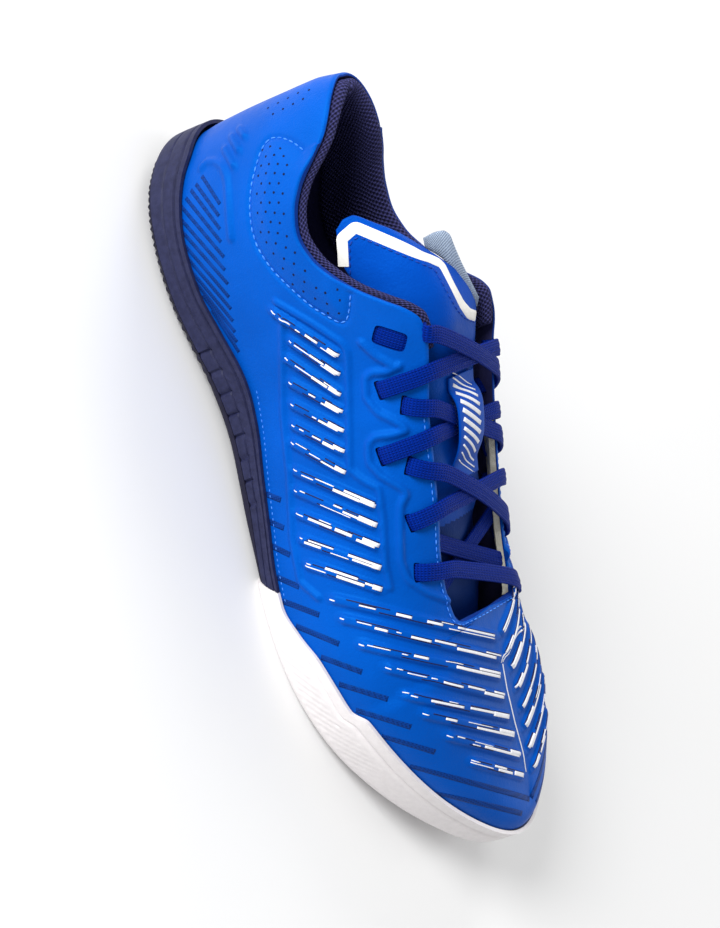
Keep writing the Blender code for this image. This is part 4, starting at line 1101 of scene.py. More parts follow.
# Stitches: one bead for each visible thread
def beads(path, out, pitch, size, width, height=0.00035):
    path, out = np.asarray(path, float), np.asarray(out, float)
    run = run_along(path)
    parts = []
    for at in np.arange(pitch / 2, run[-1], pitch):
        ends = blend([at - size / 2, at + size / 2], run, path)
        n = unit(blend([at], run, out)[0])
        ahead = unit(ends[1] - ends[0])
        across = np.cross(ahead, n)
        loops = []
        for t in np.linspace(-1, 1, 7):
            round_off = math.sqrt(max(1 - t * t, 0.04))
            centre = (ends[0] + ends[1]) / 2 + ahead * size / 2 * t
            loops.append([centre + across * math.cos(a) * width / 2 * round_off
                          + n * math.sin(a) * height * round_off for a in round_angles(6)])
        parts.append(ring_tube(loops)[:2])
    return parts


STITCH_RISE = 0.00012


def seam(line, count, *sizes):
    """Stitches on the dressed skin along a line of skin places."""
    place, out = seat(line)
    normals = unit(blend(np.linspace(0, 1, count), np.linspace(0, 1, len(out)), out))
    return beads(drop(rounded(place, count, 4), normals, STITCH_RISE), normals, *sizes)


# Sizes of stitches: pitch, length, width and height
stitches = [bead for side in (-1, 1) for bead in seam(panel_seam(side), 260, 0.0027, 0.0019, 0.00055)]
printed("collar_panel_stitches", stitches, thread_blue)


def rib_at(turn, side, low=0.03):
    """Rib below the opening edge with the distance from the edge."""
    steps = np.linspace(float(opening_lift(turn, side)[0]), low, 90)
    rib = skin(float(turn), side, steps)
    return steps, rib, run_along(rib)


def edge_line(side, first, last, depth, count=150):
    """Places a distance below the throat edge between two shares of the sole length."""
    found = []
    for share in np.linspace(first, last, count):
        turn = float(turn_at(share))
        steps, _, down = rib_at(turn, side, 0.05)
        found.append((turn, float(np.interp(depth, down, steps)), side))
    return found


THROAT_SEAM = (0.43, 0.7235, 0.0022)
throat_line = edge_line(-1, *THROAT_SEAM) + edge_line(1, *THROAT_SEAM)[::-1]
printed("throat_stitches", seam(throat_line, 420, 0.0026, 0.0018, 0.00045), thread_blue)

# Fine thread along the joint of upper and sole
FEATHER_FROM, FEATHER_TO, FEATHER_LIFT = 0.34, 0.60, 0.035
feather = []
for side in (-1, 1):
    ends = [float(turn_at(share)) for share in (FEATHER_FROM, FEATHER_TO)]
    line = [(turn, FEATHER_LIFT, side) for turn in np.linspace(*ends, 90)]
    feather += beads(*seat(line), 0.0021, 0.0011, 0.00035, 0.00025)
printed("feather_stitches", feather, thread_blue)

# Pinholes of the collar panel and heel tab, drawn on the photograph; each is a dark disc, painted shade
# inside the hole over the dark lining behind
PINHOLES = (
    (262, 150), (271, 147), (281, 149), (267, 157), (276, 156), (285, 157), (262, 166), (271, 165),
    (280, 165), (289, 166), (259, 176), (268, 174), (277, 174), (286, 175), (263, 184), (272, 184),
    (281, 184), (258, 194), (267, 193), (276, 193), (285, 194), (263, 203), (272, 203), (281, 203),
    (259, 213), (268, 212), (277, 213), (286, 214), (264, 222), (273, 222), (282, 223), (262, 232),
    (271, 232), (280, 233), (289, 236), (268, 242), (278, 243), (288, 247), (297, 252), (275, 253),
    (286, 258), (296, 263), (307, 270), (284, 268), (295, 274), (306, 281), (318, 287), (293, 284),
    (304, 291), (316, 298), (328, 303), (327, 292), (340, 300), (338, 289), (339, 313), (328, 313),
    (268, 108), (278, 103), (288, 98), (298, 93), (273, 114), (283, 109), (293, 104), (303, 99),
    (309, 90),
)


PINHOLE_RADIUS, PINHOLE_RISE, PINHOLE_DEPTH = 0.00046, 0.00006, 0.0005


def disc(place, out):
    out = unit(out)
    side = unit(np.cross(out, [0.3, 0.5, 0.8]))
    up = np.cross(out, side)
    top = [place + (side * math.cos(a) + up * math.sin(a)) * PINHOLE_RADIUS + out * PINHOLE_RISE
           for a in round_angles(12)]
    return ring_tube([top, [p - out * (PINHOLE_RISE + PINHOLE_DEPTH) for p in top]])[:2]


holes = []
for found in filter(None, (on_skin(*pixel) for pixel in PINHOLES)):
    for own in ([found], other_side([found])):
        place, out = seat(own)
        holes.append(disc(place[0], out[0]))
printed("pinholes", holes, pinhole_shade, sharp=40)


# Lacing: sizes, eyelets and crossings as in the solids
LACE_WIDTH = 0.0064
LACE_THICKNESS = 0.0019
LACE_LIFT = 0.0010
LACE_ARCH = 0.0010
LACE_DIP = 0.0021
LATERAL_EYELETS = ((0.626, 0.0110), (0.564, 0.0117), (0.496, 0.0098), (0.472, 0.0195), (0.424, 0.0098),
                   (0.396, 0.0192))
MEDIAL_EYELETS = ((0.710, 0.0095), (0.632, 0.0075), (0.565, 0.0075), (0.524, 0.0075), (0.480, 0.0075),
                  (0.444, 0.0075))
REAR_CORNER = (0.352, 0.0008)
MEDIAL_CORNER = (0.404, 0.0002)
# Points round a lace, the powers that flatten it, and the depth and number of its grooves
LACE_POINTS, LACE_SIDES, LACE_FACES = 44, 0.62, 0.75
LACE_GROOVE, LACE_GROOVES = 0.20, 3.0
# Rise along the normal and step outward of a lace that dives into its eyelet
LACE_DIVE = ((0.00095, -0.0016), (0.0002, -0.0002), (-0.0015, 0.0001), (-0.0048, -0.0004))


def over_throat(share, across, lift):
    """Point a given height over the upper, or over the flat of the open throat."""
    side = -1 if across < 0 else 1
    edge = float(opening_side(share))
    turn = float(turn_at(share))
    if abs(across) < edge:
        left, right = (skin(turn, s, float(opening_lift(turn, s)[0])) for s in (-1, 1))
        part = (across + edge) / (2 * edge)
        rise = lift + LACE_ARCH * (1 - (across / edge) ** 2)
        return left + (right - left) * part + np.array([0.0, 0.0, rise]), np.array([0.3, 0.0, 1.0])
    steps, _, down = rib_at(turn, side)
    angle = float(np.interp(abs(across) - edge, down, steps))
    normal = skin_normal(turn, side, angle)
    return skin(turn, side, angle) + normal * lift, normal


def flattened(wave_at, power):
    return np.sign(wave_at) * np.abs(wave_at) ** power


def lace(name, centres, across, count=110, width=LACE_WIDTH, thickness=LACE_THICKNESS, nodes=()):
    """Flat braided strip with lengthwise ridges along smoothed centre points."""
    path = rounded(centres, count, 3)
    sideways = blend(np.linspace(0, 1, count), np.linspace(0, 1, len(across)), across)
    ahead = unit(np.gradient(path, axis=0))
    sideways = unit(sideways - ahead * np.sum(sideways * ahead, axis=1, keepdims=True))
    up = np.cross(sideways, ahead)
    angles = round_angles(LACE_POINTS)
    x = flattened(np.cos(angles), LACE_SIDES) * width / 2
    face = flattened(np.sin(angles), LACE_FACES)
    grooves = 1 - LACE_GROOVE * (0.5 + 0.5 * np.cos(2 * math.pi * x / width * LACE_GROOVES)) * np.abs(face)
    z = face * thickness / 2 * grooves
    loops = path[:, None, :] + sideways[:, None, :] * x[None, :, None] + up[:, None, :] * z[None, :, None]
    verts, faces, _ = ring_tube(loops)
    uv = np.stack([np.tile(x / width + 0.5, count), np.repeat(run_along(path), LACE_POINTS)], axis=-1)
    return dress(build(name, verts, faces, (lace_blue,), uv=uv), "lace_textile", *nodes)


def eyelet(side, share, below):
    turn = float(turn_at(share))
    steps, _, down = rib_at(turn, side)
    angle = float(np.interp(below, down, steps))
    out = skin_normal(turn, side, angle)
    return drop(np.array([skin(turn, side, angle)]), [out])[0], out


EYELET_SIZE = (LACE_WIDTH + 0.0006, 0.0022)
cut_boxes = []


def lace_run(name, start, end, extra=0.0, start_hole=True, end_hole=True, nodes=()):
    """Lace from a lateral to a medial place over the throat, diving through its eyelets."""
    first = -float(opening_side(start[0])) - start[1]
    final = float(opening_side(end[0])) + end[1]
    centres, normals = [], []
    for part in np.linspace(0, 1, 41):
        share = start[0] + (end[0] - start[0]) * part
        aside = first + (final - first) * part
        raised = extra * max(1 - (aside / float(opening_side(share))) ** 2, 0.0)
        point, normal = over_throat(share, aside, LACE_LIFT + LACE_THICKNESS / 2 + raised)
        centres.append(point)
        normals.append(unit(normal))
    centres, normals = softened(np.array(centres), 4), smooth_normals(normals, 4)
    ahead = unit(np.gradient(centres, axis=0))
    across = unit(np.cross(ahead, normals))
    for side, k, hole, place in ((-1, 0, start_hole, start), (1, -1, end_hole, end)):
        spot, out = eyelet(side, *place) if hole else (centres[k] - normals[k] * 0.002, normals[k])
        away = ahead[k] * side
        away = unit(away - out * (away @ out))
        dive = [spot + out * rise + away * step for rise, step in LACE_DIVE]
        if hole:
            cut_boxes.append((spot, out, unit(np.cross(out, away)), *EYELET_SIZE))
        if side > 0:
            centres = np.concatenate([centres[:-2], dive])
            across = np.concatenate([across[:-2], np.repeat(across[-1:], 4, axis=0)])
        else:
            centres = np.concatenate([dive[::-1], centres[2:]])
            across = np.concatenate([np.repeat(across[:1], 4, axis=0), across[2:]])
        ahead = unit(np.gradient(centres, axis=0))
    run = run_along(centres)
    lace(name, centres, blend(np.linspace(0, run[-1], len(centres)), run, across), nodes=nodes)


lateral, medial = LATERAL_EYELETS, MEDIAL_EYELETS
lace_run("lace_front_bar", lateral[0], medial[0], nodes=("lace_bar",))
lace_run("lace_front_over", lateral[2], medial[1], 0.0010, nodes=("lace_cross_front",))
lace_run("lace_front_under", lateral[1], medial[2], -0.0006, nodes=("lace_cross_front",))
lace_run("lace_middle_over", lateral[4], medial[3], 0.0006 - LACE_DIP, nodes=("lace_cross_middle",))
lace_run("lace_middle_under", lateral[3], medial[4], -0.0008 - LACE_DIP, nodes=("lace_cross_middle",))
lace_run("lace_rear_under", lateral[5], MEDIAL_CORNER, end_hole=False, nodes=("lace_cross_rear",))
lace_run("lace_rear_over", REAR_CORNER, medial[5], 0.0014, start_hole=False, nodes=("lace_cross_rear",))


INNER_SAG = 0.0012


def inner_lace(name, start, end, sink):
    """Crossing that runs under the throat edge, seen deep in the opening."""
    centres = []
    for part in np.linspace(0, 1, 25):
        share = start + (end - start) * part
        point, _ = over_throat(share, (-1 + 2 * part) * float(opening_side(share)) * 0.999, 0.0)
        centres.append(point - np.array([0.0, 0.0, sink + INNER_SAG * math.sin(math.pi * part)]))
    across = np.repeat([unit(np.cross(centres[-1] - centres[0], [0.3, 0, 1.0]))], 25, axis=0)
    lace(name, centres, across, 60)


inner_lace("lace_inside_first", 0.602, 0.672, 0.0030)
inner_lace("lace_inside_second", 0.668, 0.606, 0.0048)

# Window slot by the collar with the lace seen through it
SLOT_PX = ((375, 335), (389, 339), (403, 344))
SLOT_SIZE, SLOT_REACH = (0.0122, 0.0072), 0.0075
slot_place, slot_out = seat(trace(SLOT_PX, 2.0))
slot_ahead = unit(slot_place[-1] - slot_place[0])
slot_mid, slot_normal = slot_place[len(slot_place) // 2], unit(slot_out.mean(axis=0))
slot_across = unit(np.cross(slot_ahead, slot_normal))
cut_boxes.append((slot_mid, slot_normal, slot_ahead, *SLOT_SIZE))
slot_lace = [slot_mid + slot_ahead * r - slot_normal * (0.0009 + 0.0022 * abs(r / SLOT_REACH) ** 3)
             for r in np.linspace(-SLOT_REACH, SLOT_REACH, 21)]
lace("lace_in_slot", slot_lace, np.repeat([slot_across], 21, axis=0), 60, 0.0070, 0.0013)

# Slots through the upper where the laces go in
SLOT_POINTS, SLOT_CORNERS, SLOT_DEEP, SLOT_HIGH = 20, 0.35, -0.005, 0.003
cut_verts, cut_faces = [], []
for spot, out, along, long_side, short_side in cut_boxes:
    side = np.cross(out, along)
    loops = []
    for deep in (SLOT_DEEP, SLOT_HIGH):
        ring = []
        for a in round_angles(SLOT_POINTS):
            c, s = math.cos(a), math.sin(a)
            x = math.copysign(abs(c) ** SLOT_CORNERS, c) * long_side / 2
            y = math.copysign(abs(s) ** SLOT_CORNERS, s) * short_side / 2
            ring.append(spot + out * deep + along * x + side * y)
        loops.append(ring)
    verts, faces, _ = ring_tube(loops)
    cut_faces += [tuple(k + len(cut_verts) for k in face) for face in faces]
    cut_verts += list(verts)
carved(upper, "DIFFERENCE", build("slot_tool", cut_verts, cut_faces, (edge_shade_blue,)), 50)

# Padded collar lining with a rolled top
LINING_GAP = UPPER_WALL + 2 * CLEARANCE - 0.0004
# Depth below the edge, distance inward
LINING_SECTION = (
    (0.0300, 0.0), (0.0200, 0.0), (0.0100, 0.0), (0.0004, 0.0), (-0.0014, 0.0003), (-0.0026, 0.0016),
    (-0.0028, 0.0032), (-0.0016, 0.0048), (0.0010, 0.0058), (0.0060, 0.0060), (0.0130, 0.0050),
    (0.0210, 0.0034), (0.0300, 0.0022),
)
LINING_END, LINING_DEEP = 0.375, 0.034
LINING_LOOPS, LINING_POINTS = 280, 56


def closed_curve(points, count):
    """Even points on a smooth closed curve through a table."""
    points = np.asarray(points, float)
    fine = []
    for i in range(len(points)):
        a, b, c, d = np.roll(points, 1 - i, axis=0)[:4]
        for t in np.linspace(0, 1, 12, endpoint=False):
            fine.append(0.5 * (2 * b + (c - a) * t + (2 * a - 5 * b + 4 * c - d) * t ** 2
                               + (3 * b - a - 3 * c + d) * t ** 3))
    fine = np.array(fine + fine[:1])
    return resample(fine, count + 1)[:-1]


lining_curve = closed_curve(LINING_SECTION, LINING_POINTS)
lining_turn = float(turn_at(LINING_END))
loops = []
for q in np.linspace(-lining_turn, lining_turn, LINING_LOOPS):
    side = -1 if q < 0 else 1
    turn = abs(q)
    taper = 0.62 + 0.38 * max(1 - turn / lining_turn, 0) ** 0.5
    swell = 1 + 0.04 * math.sin(q * 31) + 0.03 * math.sin(q * 57 + 1)
    slim = 1 - 0.30 * float(soft((-q / lining_turn - 0.25) / 0.3))
    steps, rib, down = rib_at(turn, side)
    short = min(1.0, down[-1] / LINING_DEEP)
    depth = lining_curve[:, 0] * np.where(lining_curve[:, 0] > 0, short, 1.0)
    angle = np.interp(np.maximum(depth, 0), down, steps)
    points = skin(turn, side, angle)
    tangent = unit(rib[1] - rib[0])
    points = points + tangent * np.minimum(depth, 0)[:, None] * slim
    out = skin_normal(turn, side, angle)
    loops.append(points - out * (LINING_GAP + lining_curve[:, 1] * taper * swell * slim)[:, None])
verts, faces, uv = ring_tube(loops)
lining = build("collar_lining_knit", verts, faces, (navy_knit,), uv=uv)
dress(lining, "lining_mesh", "collar_lining", fill=0.55)

# Cut felt layer inside the medial throat edge: depth below the edge and distance inward of its corners
FELT_FROM, FELT_TO = 0.492, 0.719
FELT_SECTION = ((0.0002, 0.0014), (0.0002, 0.0036), (0.0050, 0.0040), (0.0050, 0.0018))
felt_loops = []
for share in np.linspace(FELT_FROM, FELT_TO, 100):
    turn = float(turn_at(share))
    steps, rib, _ = rib_at(turn, 1)
    tangent, out = unit(rib[1] - rib[0]), skin_normal(turn, 1, steps[0])
    felt_loops.append([rib[0] + tangent * depth - out * inward for depth, inward in FELT_SECTION])
verts, faces, _ = ring_tube(felt_loops)
dress(build("throat_felt", verts, faces, (felt,), sharp=40), "lining_mesh")

# Tongue: padded sheet with a raised rim
tongue_along = column(TONGUE, 0, SOLE_LENGTH)
tongue_sizes = (BALL_WIDTH, INSTEP_HEIGHT, BALL_WIDTH, INSTEP_HEIGHT, INSTEP_HEIGHT)
tongue_curves = [steady_curve(tongue_along, column(TONGUE, k + 1, tongue_sizes[k])) for k in range(5)]
tongue_top = steady_curve(column(TONGUE_TOP, 0), column(TONGUE_TOP, 1, SOLE_LENGTH))
TONGUE_FRONT = TONGUE[-1][0] * SOLE_LENGTH


def tongue_point(across, along):
    """Outer face of the tongue; across runs from -1 lateral to 1 medial."""
    left, left_z, right, right_z, middle_z = [curve(along) for curve in tongue_curves]
    y = (left + right) / 2 + (right - left) / 2 * across
    side_z = np.where(across < 0, left_z, right_z)
    z = middle_z + (side_z - middle_z) * across ** 2
    return np.stack(np.broadcast_arrays(along, y, z), axis=-1)



TONGUE_ACROSS, TONGUE_STEPS = 121, 180
TONGUE_DIVE, DIVE_FROM, DIVE_LENGTH = 0.0052, 0.160, 0.014
PAINTED_SHADE_FROM = 0.169


def tongue_grid(across_steps, along_steps):
    """Shares across and along, places and normals of the tongue's face."""
    u, v = np.meshgrid(np.linspace(-1, 1, across_steps), np.linspace(0, 1, along_steps), indexing="ij")
    rear = tongue_top(u)
    x = rear + (TONGUE_FRONT - rear) * v
    du = tongue_point(u + 1e-3, x) - tongue_point(u - 1e-3, x)
    dv = tongue_point(u, x + 1e-4) - tongue_point(u, x - 1e-4)
    return u, v, tongue_point(u, x), unit(np.cross(dv, du))


U, V, tongue_face, tongue_out = tongue_grid(TONGUE_ACROSS, TONGUE_STEPS)
rim_near = np.minimum(1 - np.abs(U), V * 1.9)
plump = soft(rim_near / 0.35) * soft((1 - V) / 0.2)
ripple = 0.00018 * np.sin(U * 7 + V * 11) * plump
dive = TONGUE_DIVE * soft((tongue_face[..., 0] - DIVE_FROM) / DIVE_LENGTH)
tongue_face = tongue_face - np.array([0, 0, 1.0]) * dive[..., None]
front = tongue_face + tongue_out * (0.0006 * plump - 0.0003 * soft(1 - rim_near / 0.05) + ripple)[..., None]
edge_thin = 0.55 + 0.45 * np.minimum(1, np.minimum((1 - np.abs(U)) * 12, np.minimum(V * 20, (1 - V) * 20)))
back = tongue_face - tongue_out * (TONGUE_THICKNESS * edge_thin)[..., None]


def sheet_solid(top, low):
    """Closed solid between two grids, with kinds for its top, back and rim."""
    n, m = top.shape[:2]
    verts = np.concatenate([top.reshape(-1, 3), low.reshape(-1, 3)])
    size = n * m
    grid = np.arange(size).reshape(n, m)
    quads = np.stack([grid[:-1, :-1], grid[:-1, 1:], grid[1:, 1:], grid[1:, :-1]], axis=-1).reshape(-1, 4)
    rim_loop = np.concatenate([grid[0], grid[1:, -1], grid[-1, -2::-1], grid[-2:0:-1, 0]])
    after = np.roll(rim_loop, -1)
    faces = [tuple(q) for q in quads] + [tuple(q[::-1] + size) for q in quads]
    faces += [(b, a, a + size, b + size) for a, b in zip(rim_loop, after)]
    kinds = [0] * len(quads) + [1] * len(quads) + [2] * len(rim_loop)
    return verts, faces, kinds


verts, faces, kinds = sheet_solid(front, back)
wide = np.stack([U * 0.022, V * 0.150], axis=-1).reshape(-1, 2)
quad_along = (tongue_face[:-1, :-1, 0] + tongue_face[1:, 1:, 0]).reshape(-1) / 2
# Tongue faces beyond this distance take the darker blue: painted shade deep in the throat
for k in np.where(quad_along > PAINTED_SHADE_FROM)[0]:
    kinds[k] = 3
looks = (tongue_blue, grey_knit, edge_shade_blue, tongue_front_shade)
tongue = build("tongue_pad", verts, faces, looks, uv=np.concatenate([wide, wide]), slots=kinds)
dress(tongue, "upper_synthetic", "tongue", fill=0.4)
tongue_quads = np.array(faces[:(U.shape[0] - 1) * (U.shape[1] - 1)])
tongue_tree = tree_of(verts, np.concatenate([tongue_quads[:, [0, 1, 2]], tongue_quads[:, [0, 2, 3]]]))


def on_tongue(points, step=2.0, passes=0):
    """Places and normals on the tongue along a line drawn on the photograph."""
    points = np.asarray(points, float)
    count = max(3, int(np.linalg.norm(np.diff(points, axis=0), axis=1).sum() / step))
    place, out = [], []
    for px, py in rounded(points, count, passes):
        start, ray = sight(px, py)
        hit, normal, _, _ = tongue_tree.ray_cast(Vector(start), Vector(ray))
        if hit is not None:
            n = np.array(normal)
            place.append(np.array(hit))
            out.append(n * (1 if n[2] > 0 else -1))
    return np.array(place), np.array(out)


# Grey knit back of the tongue, behind its medial top corner: outer, then inner edge on the photograph
BACK_FLAP = (
    (423, 238, 425, 248), (434, 232, 436, 254), (444, 230, 443, 259), (450, 234, 449, 266),
    (455, 247, 455, 274), (461, 261, 461, 283), (468, 275, 468, 293), (474, 287, 473, 301),
    (479, 297, 477, 307),
)
FLAP_ROWS, FLAP_THICK, OUTER_BEHIND, INNER_BEHIND = 60, 0.0014, 0.0035, 0.0055
flap_loops = []
for k, (ox, oy, ix, iy) in enumerate(rounded(BACK_FLAP, FLAP_ROWS, 2)):
    start, inner_ray = sight(ix - 3.0, iy + 4.0)
    hit, _, _, far = tongue_tree.ray_cast(Vector(start), Vector(inner_ray))
    if hit is not None:
        flap_far = far
    ends = 0.35 + 0.65 * float(soft(min(k, FLAP_ROWS - 1 - k) / 8))
    outer = start + sight(ox, oy)[1] * (flap_far + OUTER_BEHIND)
    inner_spot = start + sight(ix, iy)[1] * (flap_far + INNER_BEHIND)
    middle, half = (outer + inner_spot) / 2, (outer - inner_spot) / 2
    depth_way = unit(inner_ray) * FLAP_THICK * ends
    flap_loops.append([middle + half * math.cos(a) + depth_way * math.sin(a) for a in round_angles(24)])
verts, faces, uv = ring_tube(flap_loops)
dress(build("tongue_back_flap", verts, faces, (grey_knit,), uv=uv), "lining_mesh")

# White band and seam along the tongue's top, on the photograph
TONGUE_BAND = (
    (346.5, 293), (345.5, 284), (344.2, 276), (341.8, 238.6), (354.6, 227.6), (358, 228.2),
    (439.4, 262.7), (443, 267), (461.8, 304.1), (469.2, 313.8), (475, 316), (480, 316),
)
TONGUE_SEAM = (
    (350.5, 282), (349.6, 244), (355.8, 237), (360.5, 237.6), (434.8, 269.6), (456.6, 309.8),
    (464.6, 318.4), (473.8, 321.8),
)
BAND_HALF, BAND_DEPTH = 0.0020, 0.0006
BAND_RISES = (0.00005, 0.0003, 0.0003, 0.0003, 0.0003, 0.0003, 0.00005)
place, out = on_tongue(TONGUE_BAND, 1.2, 1)
out = smooth_normals(out, 12)
across = unit(np.cross(unit(np.gradient(place, axis=0)), out))
rails = [drop(place + across * shift * BAND_HALF, out, rise, tongue_tree)
         for shift, rise in zip(np.linspace(-1, 1, 7), BAND_RISES)]
rails += [rails[-1] - out * BAND_DEPTH, rails[0] - out * BAND_DEPTH]
verts, faces, _ = ring_tube(np.stack(rails, axis=1))
dress(build("tongue_band", verts, faces, (band_white,), sharp=50), "upper_synthetic")
place, out = on_tongue(TONGUE_SEAM, 1.5, 2)
out = smooth_normals(out, 12)
parts = beads(drop(place, out, 0.0001, tongue_tree), out, 0.0026, 0.0019, 0.0006)
printed("tongue_stitches", parts, thread_deep)

# Loop on the tongue with its slanted stripes
LOOP_WIDTH = 0.0170
LOOP_THICKNESS = 0.0012
LOOP_SIDE = 0.0045
LOOP_REAR = 0.1205
LOOP_FRONT = 0.156
LOOP_TOP_AT = 0.1375
LOOP_REACH = 0.0125
LOOP_RISE = 0.0043
LOOP_POINTS, LOOP_CROWN = 36, 0.0006


def loop_height(along, y):
    left, _, right, _, _ = [float(curve(along)) for curve in tongue_curves]
    heights = []
    for spot in (y - LOOP_WIDTH / 2, y, y + LOOP_WIDTH / 2):
        u = (spot - (left + right) / 2) / ((right - left) / 2)
        heights.append(float(tongue_point(np.array(u), np.array(along))[2]))
    bump = LOOP_RISE * max(1 - abs((along - LOOP_TOP_AT) / LOOP_REACH) ** 3, 0.0)
    return max(heights) + CLEARANCE + 0.0001 + bump


loop_alongs = np.linspace(LOOP_REAR, LOOP_FRONT, 90)
loop_tops = softened(np.array([loop_height(a, LOOP_SIDE) for a in loop_alongs]), 10)
angles = round_angles(LOOP_POINTS)
y = LOOP_SIDE + flattened(np.cos(angles), 0.3) * LOOP_WIDTH / 2
crown = LOOP_CROWN * (1 - ((y - LOOP_SIDE) / LOOP_WIDTH * 2) ** 2)
loops = []
for along, z in zip(loop_alongs, loop_tops):
    high = z + LOOP_THICKNESS / 2 + flattened(np.sin(angles), 0.4) * LOOP_THICKNESS / 2 + crown
    loops.append(np.stack([np.full(LOOP_POINTS, along), y, high], axis=-1))
verts, faces, uv = ring_tube(loops)
dress(build("tongue_lace_loop", verts, faces, (tongue_blue,), uv=uv), "upper_synthetic", "tongue_loop")
loop_tris = [(f[0], f[1], f[2]) for f in faces[:-2]] + [(f[0], f[2], f[3]) for f in faces[:-2]]
loop_tree = tree_of(verts, loop_tris)
# Stripes: distance from the heel and width in millimetres, then their reach across and slant
LOOP_STRIPES = (
    (122.0, 0.35), (124.3, 0.55), (126.9, 0.9), (129.8, 1.2), (132.9, 1.5), (136.1, 1.6), (139.3, 1.5),
    (142.4, 1.3), (145.2, 1.0), (147.8, 0.7), (150.2, 0.5), (152.4, 0.35),
)
STRIPE_START, STRIPE_REACH, STRIPE_SLANT = -0.38, 0.66, 7.2
parts = []
for at, width in LOOP_STRIPES:
    t = np.linspace(0, 1, 9)
    y = LOOP_SIDE + (STRIPE_START + STRIPE_REACH * t) * LOOP_WIDTH
    along = (at + (-STRIPE_SLANT / 2 + STRIPE_SLANT * t)) * MM
    places = np.stack([along, y, np.interp(along, loop_alongs, loop_tops) + LOOP_THICKNESS], axis=-1)
    slope = np.interp(at * MM, loop_alongs, np.gradient(loop_tops, loop_alongs))
    normals = np.repeat([unit([-slope, 0, 1.0])], 9, axis=0)
    places = drop(places, normals, 0.0, loop_tree)
    parts.append(stripe(places, normals, np.full(9, width * MM), loop_tree))
printed("loop_stripes", parts, white_ink)

# Sole: the same rows as the solids, finer, with the relief of the side walls and tread
CUP_INSET = RIM_INSET + RIM_WALL
OUTSOLE_HEIGHT = 0.0042
REAR_GROOVES = (.06, .095, .13, .165, .20, .235, .27, .33, .39, .45, .51)
FRONT_GROOVES = (.62, .655, .69, .725, .76, .795, .83)
GROOVE_DEPTH, GROOVE_WIDTH, GROOVE_DRAFT = 0.0011, 0.0024, 0.0004
SIPE_DEPTH, SIPE_PITCH, SIPE_SLANT = 0.00035, 0.0055, 0.8


def ground(t):
    return bottom_height(share_at(t))


def split_under(t):
    return ground(t) + OUTSOLE_HEIGHT * np.minimum(1, 0.45 + 6 * (0.57 - share_at(t)).clip(0, 1))


def tread(x, y, grooves):
    """Depth of the tread below the sole: straight grooves with slanted sipes between them."""
    depth = np.zeros(np.broadcast(x, y).shape)
    for share in grooves:
        gap = np.abs(x - share * SOLE_LENGTH)
        cut = np.clip((GROOVE_WIDTH / 2 + GROOVE_DRAFT - gap) / GROOVE_DRAFT, 0, 1)
        depth = np.maximum(depth, GROOVE_DEPTH * cut)
    fine = np.abs(((x + np.abs(y) * SIPE_SLANT) / SIPE_PITCH) % 1 - 0.5)
    return np.maximum(depth, SIPE_DEPTH * soft((0.12 - fine) / 0.06))


# Relief of the side walls: depths and pitches in metres, places as shares of wall height or sole length
LINE_AT, LINE_DEPTH = 0.80, 0.0008
LOW_LINE_AT, LOW_LINE_DEPTH = 0.42, 0.0005
NOTCH_FROM, NOTCH_PITCH, NOTCH_DEPTH = 0.26, 0.028, 0.0010
HEEL_RIB_PITCH, HEEL_RIB_DEPTH = 0.0105, 0.0011
TOE_LINE_AT, TOE_LINE_DEPTH = 0.74, 0.0009
TOE_RIB_SLANT, TOE_RIB_PITCH, TOE_RIB_DEPTH = 1.3, 0.0034, 0.00035


def wall_relief(kind, t, part, z):
    """Inward depth of the side wall's grooves, ribs and notches."""
    share = share_at(t)
    if kind == "rear":
        line = soft(1 - np.abs(part - LINE_AT) / 0.05) * LINE_DEPTH
        ribs = soft(1 - np.abs(part - LOW_LINE_AT) / 0.04) * LOW_LINE_DEPTH
        step = ((share - NOTCH_FROM) / NOTCH_PITCH) % 1
        notch = soft(1 - np.abs(step - 0.5) / 0.12) * NOTCH_DEPTH
        notch = notch * soft((share - 0.25) / 0.02) * soft((0.50 - share) / 0.02)
        return line + ribs + notch * soft((0.55 - part) / 0.15)
    if kind == "plain":
        ribs = (0.5 + 0.5 * np.sin(t * 2 * math.pi / HEEL_RIB_PITCH)) * HEEL_RIB_DEPTH
        return ribs * soft((0.34 - share) / 0.08) * soft((1.02 - part) / 0.1)
    line = soft(1 - np.abs(part - TOE_LINE_AT) / 0.035) * TOE_LINE_DEPTH * soft((share - 0.66) / 0.03)
    slant = ((share * SOLE_LENGTH - z * TOE_RIB_SLANT) / TOE_RIB_PITCH) % 1
    ribs = soft(1 - np.abs(slant - 0.5) / 0.22) * TOE_RIB_DEPTH
    ribs = ribs * soft((0.66 - part) / 0.12) * soft((part - 0.12) / 0.1) * soft((0.86 - share) / 0.05)
    return line + ribs


def outline_row(t, inset, z):
    """Places on both sides of the outline, by side."""
    return {side: np.stack([*outline(t, side, inset), z], axis=-1) for side in (-1, 1)}


